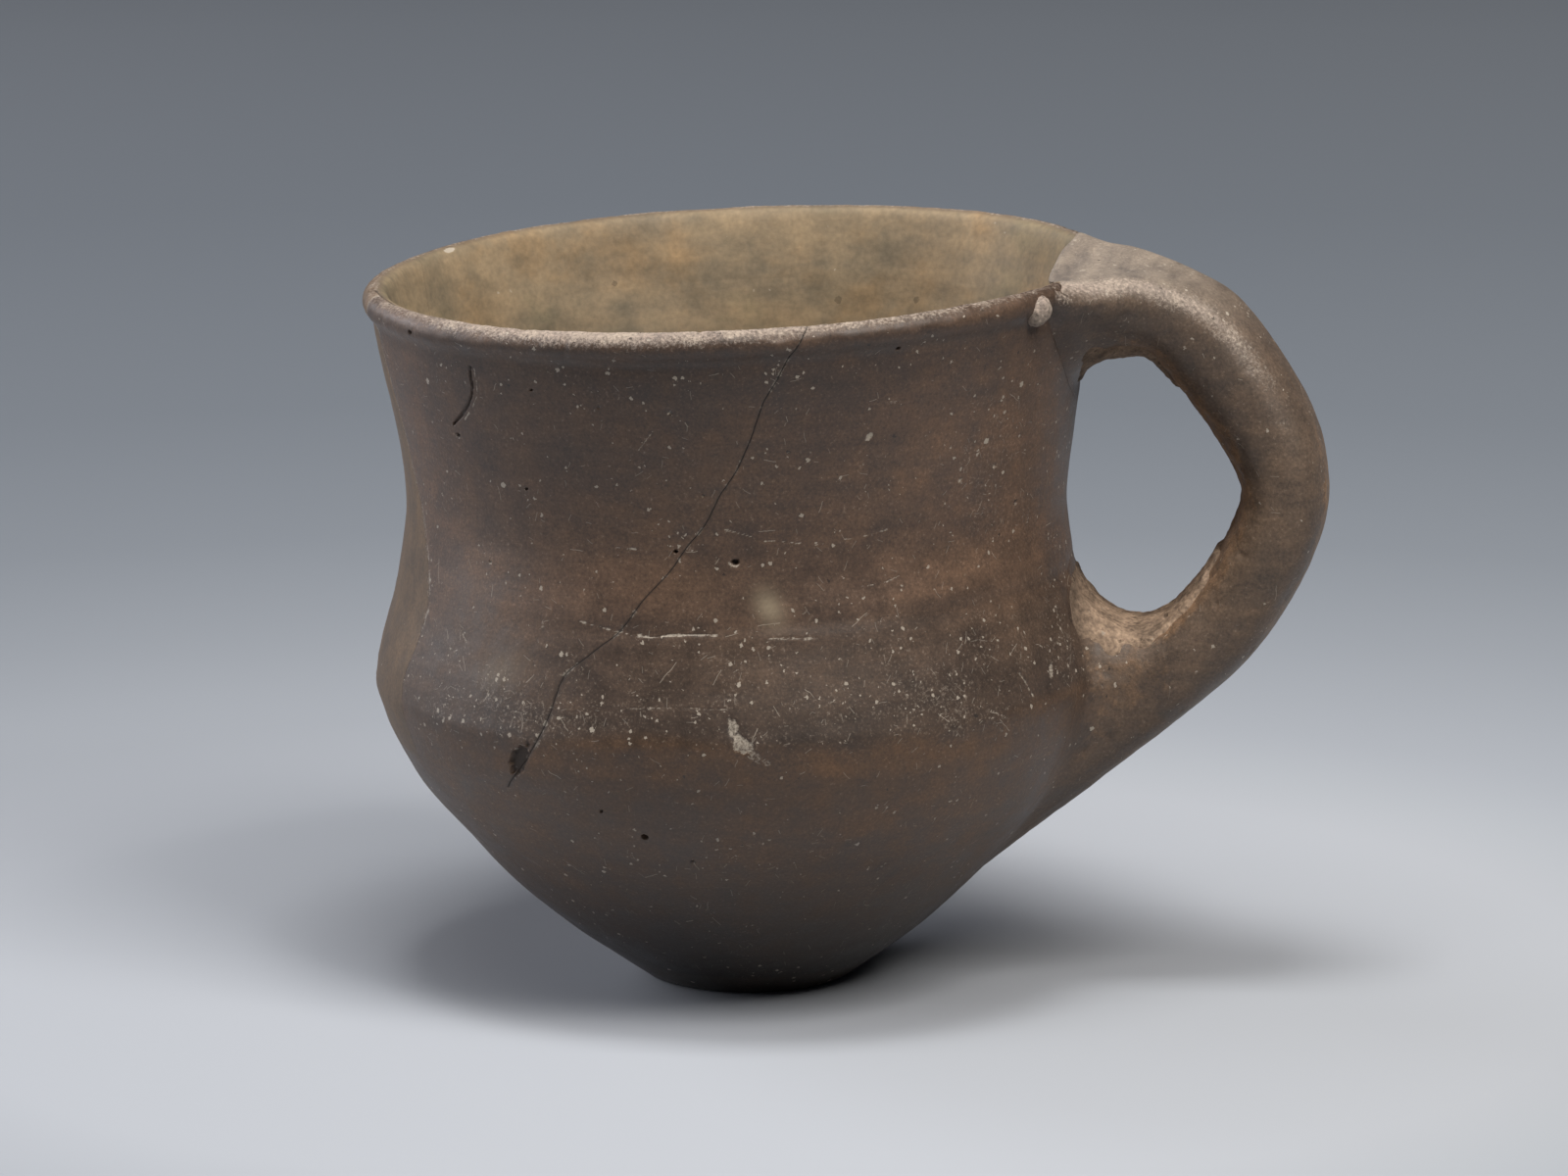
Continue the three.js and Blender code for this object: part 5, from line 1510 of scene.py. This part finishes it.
def make_stage(stage):
    """The pale floor, the soft lights and the camera."""
    object_mode()
    bpy.ops.mesh.primitive_circle_add(vertices=96, radius=6, fill_type="NGON")
    floor = bpy.context.active_object
    floor.name = "studio_floor"
    # Matt seamless paper with a painted pool of light round the cup, darker far behind it: its colour runs
    # with the distance from the cup
    material, tree, shader, place = new_material("Matt Studio Paper")
    away = add_node(tree, "VectorMath", {0: place}, out="Value", operation="LENGTH")
    reach = 1.5
    away = add_node(tree, "Math", {0: away, 1: 1 / reach}, operation="MULTIPLY")
    near, far = np.array(stage.paper_in_painted_light), np.array(stage.paper_in_painted_falloff)
    stops = [(at, tuple(far + (near - far) * share)) for at, share in (
        (0.0, 1), (0.085, 1), (0.12, 0.66), (0.17, 0.38), (0.22, 0.16), (0.3, 0.02), (0.45, 0), (0.62, 0.12),
    )]
    tone = add_node(tree, "ValToRGB", {"Fac": away}, stops=stops)
    # Darker to the left and lighter to the right: painted falloff of the light
    across = add_node(tree, "SeparateXYZ", {0: place}).node.outputs[0]
    across = add_node(tree, "MapRange", {"Value": across, "From Min": -0.3, "From Max": 0.3})
    tone = mottled(tree, tone, across, "#b4b4b4", "#c8c8c8", 0.0, 1.0)
    # The cup takes less light back from the paper than a wide white sheet would give
    bounced = add_node(tree, "LightPath", out="Is Diffuse Ray")
    tone = laid_over(tree, tone, bounced, 0.6, (0.08, 0.08, 0.08))
    tree.links.new(tone, shader.inputs["Base Color"])
    shader.inputs["Roughness"].default_value = 0.9
    shader.inputs["Specular IOR Level"].default_value = 0.1
    floor.data.materials.append(material)
    # Each lamp's place and size in metres, power in watts, and colour
    for name, where, size, power, colour in (
        ("front_top_soft_box", (0.0, -0.55, 1.25), (0.9, 0.7), 3.8, "#fffdfa"),
        ("top_soft_box", (0.0, -0.25, 1.35), (0.45, 0.35), 7.0, "#fffdfa"),
        ("right_top_soft_box", (0.65, -0.6, 1.1), (0.6, 0.6), 11.2, "#fffaf4"),
        ("left_low_soft_box", (-1.3, -0.1, 0.4), (0.8, 0.9), 5.6, "#fafaff"),
        ("back_left_soft_box", (-1.1, 0.6, 0.6), (0.6, 0.6), 5.2, "#f8f8ff"),
    ):
        light = bpy.data.lights.new(name, "AREA")
        light.shape = "RECTANGLE"
        light.size, light.size_y = size
        light.energy = power * stage.lamp_power
        light.color = linear(colour)
        lamp = bpy.data.objects.new(name, light)
        bpy.context.collection.objects.link(lamp)
        lamp.location = where
        lamp.rotation_euler = (Vector((0, 0, 0.05)) - Vector(where)).to_track_quat("-Z", "Y").to_euler()
    world = bpy.data.worlds.new("Studio Air")
    world.use_nodes = True
    world.node_tree.nodes["Background"].inputs["Color"].default_value = (*linear("#e8ebf2"), 1)
    world.node_tree.nodes["Background"].inputs["Strength"].default_value = 0.01
    bpy.context.scene.world = world
    bpy.context.scene.view_settings.view_transform = "Standard"
    azimuth, elevation = math.radians(CAMERA_AZIMUTH), math.radians(CAMERA_ELEVATION)
    back = np.array([
        math.sin(azimuth) * math.cos(elevation),
        -math.cos(azimuth) * math.cos(elevation),
        math.sin(elevation),
    ])
    right = np.array([math.cos(azimuth), math.sin(azimuth), 0])
    up = np.cross(back, right)
    lens = bpy.data.cameras.new("photo_camera")
    lens.sensor_width = 36
    lens.lens = CAMERA_LENS
    lens.clip_end = 50
    camera = bpy.data.objects.new("photo_camera", lens)
    bpy.context.collection.objects.link(camera)
    camera.location = (right * CAMERA_RIGHT + up * CAMERA_UP) * MM + back * CAMERA_DISTANCE
    camera.rotation_euler = Matrix((right, up, back)).transposed().to_euler()
    bpy.context.scene.camera = camera


class CUP_OT_make_stage(bpy.types.Operator):
    """Lay the studio paper, hang the soft boxes and set up the camera"""

    bl_idname = "cup.make_stage"
    bl_label = "Make Stage"

    def execute(self, context):
        make_stage(context.scene.cup_stage)
        return {"FINISHED"}


class CUP_OT_make_walls(bpy.types.Operator):
    """Make the six pieces of wall: bowl, belly, neck, rim, broken sherd and restored panel"""

    bl_idname = "cup.make_walls"
    bl_label = "Make Walls"

    def execute(self, context):
        make_walls(context.scene.cup_sizes, context.scene.cup_colours)
        return {"FINISHED"}


class CUP_OT_make_strainer_floor(bpy.types.Operator):
    """Make the foot disc with its rings of strainer holes"""

    bl_idname = "cup.make_strainer_floor"
    bl_label = "Make Strainer Floor"

    def execute(self, context):
        make_strainer_floor(context.scene.cup_sizes, context.scene.cup_colours)
        return {"FINISHED"}


class CUP_OT_make_handle_strap(bpy.types.Operator):
    """Make the strap handle from the rim down to the belly"""

    bl_idname = "cup.make_handle_strap"
    bl_label = "Make Handle Strap"

    def execute(self, context):
        make_handle_strap(context.scene.cup_sizes, context.scene.cup_colours)
        return {"FINISHED"}


class CUP_OT_make_luting_wads(bpy.types.Operator):
    """Make the two wads of rough clay in the corners of the handle"""

    bl_idname = "cup.make_luting_wads"
    bl_label = "Make Luting Wads"

    def execute(self, context):
        sizes, colours = context.scene.cup_sizes, context.scene.cup_colours
        strap = Strap(Pot(sizes), sizes)
        make_wad(strap, colours, "lower_luting_wad", LOWER_WAD_EDGE, 0.4, 38, 0.2, 0.0, 61)
        # The upper wad is darkened all over: painted shade under the rim
        make_wad(strap, colours, "upper_luting_wad", UPPER_WAD_EDGE, 1.5, 30, 0.15, 0.45, 71)
        return {"FINISHED"}


class CUP_OT_make_rim_pellet(bpy.types.Operator):
    """Make the worn pellet of clay beside the handle"""

    bl_idname = "cup.make_rim_pellet"
    bl_label = "Make Rim Pellet"

    def execute(self, context):
        make_rim_pellet(context.scene.cup_sizes, context.scene.cup_colours)
        return {"FINISHED"}


class CUP_PT_making(bpy.types.Panel):
    """Lists the pieces of the cup, and the sizes and colours that they take"""

    bl_idname = "CUP_PT_making"
    bl_label = "Strainer Cup"
    bl_space_type = "VIEW_3D"
    bl_region_type = "UI"
    bl_category = "Strainer Cup"

    def draw(self, context):
        column = self.layout.column(align=True)
        for operator in OPERATORS:
            column.operator(operator.bl_idname)
        for settings in (context.scene.cup_sizes, context.scene.cup_colours, context.scene.cup_stage):
            column = self.layout.column(align=True)
            for name in settings.__annotations__:
                column.prop(settings, name)


OPERATORS = (
    CUP_OT_make_stage, CUP_OT_make_walls, CUP_OT_make_strainer_floor, CUP_OT_make_handle_strap,
    CUP_OT_make_luting_wads, CUP_OT_make_rim_pellet,
)
GROUPS = {"cup_sizes": CupSizes, "cup_colours": CupColours, "cup_stage": CupStage}


def register():
    for kind in (*GROUPS.values(), *OPERATORS, CUP_PT_making):
        bpy.utils.register_class(kind)
    for name, group in GROUPS.items():
        setattr(bpy.types.Scene, name, PointerProperty(type=group))


def unregister():
    for name in GROUPS:
        delattr(bpy.types.Scene, name)
    for kind in (CUP_PT_making, *OPERATORS[::-1], *GROUPS.values()):
        bpy.utils.unregister_class(kind)


def main():
    register()
    bpy.ops.cup.make_stage()
    bpy.ops.cup.make_walls()
    bpy.ops.cup.make_strainer_floor()
    bpy.ops.cup.make_handle_strap()
    bpy.ops.cup.make_luting_wads()
    bpy.ops.cup.make_rim_pellet()


if __name__ == "__main__":
    main()
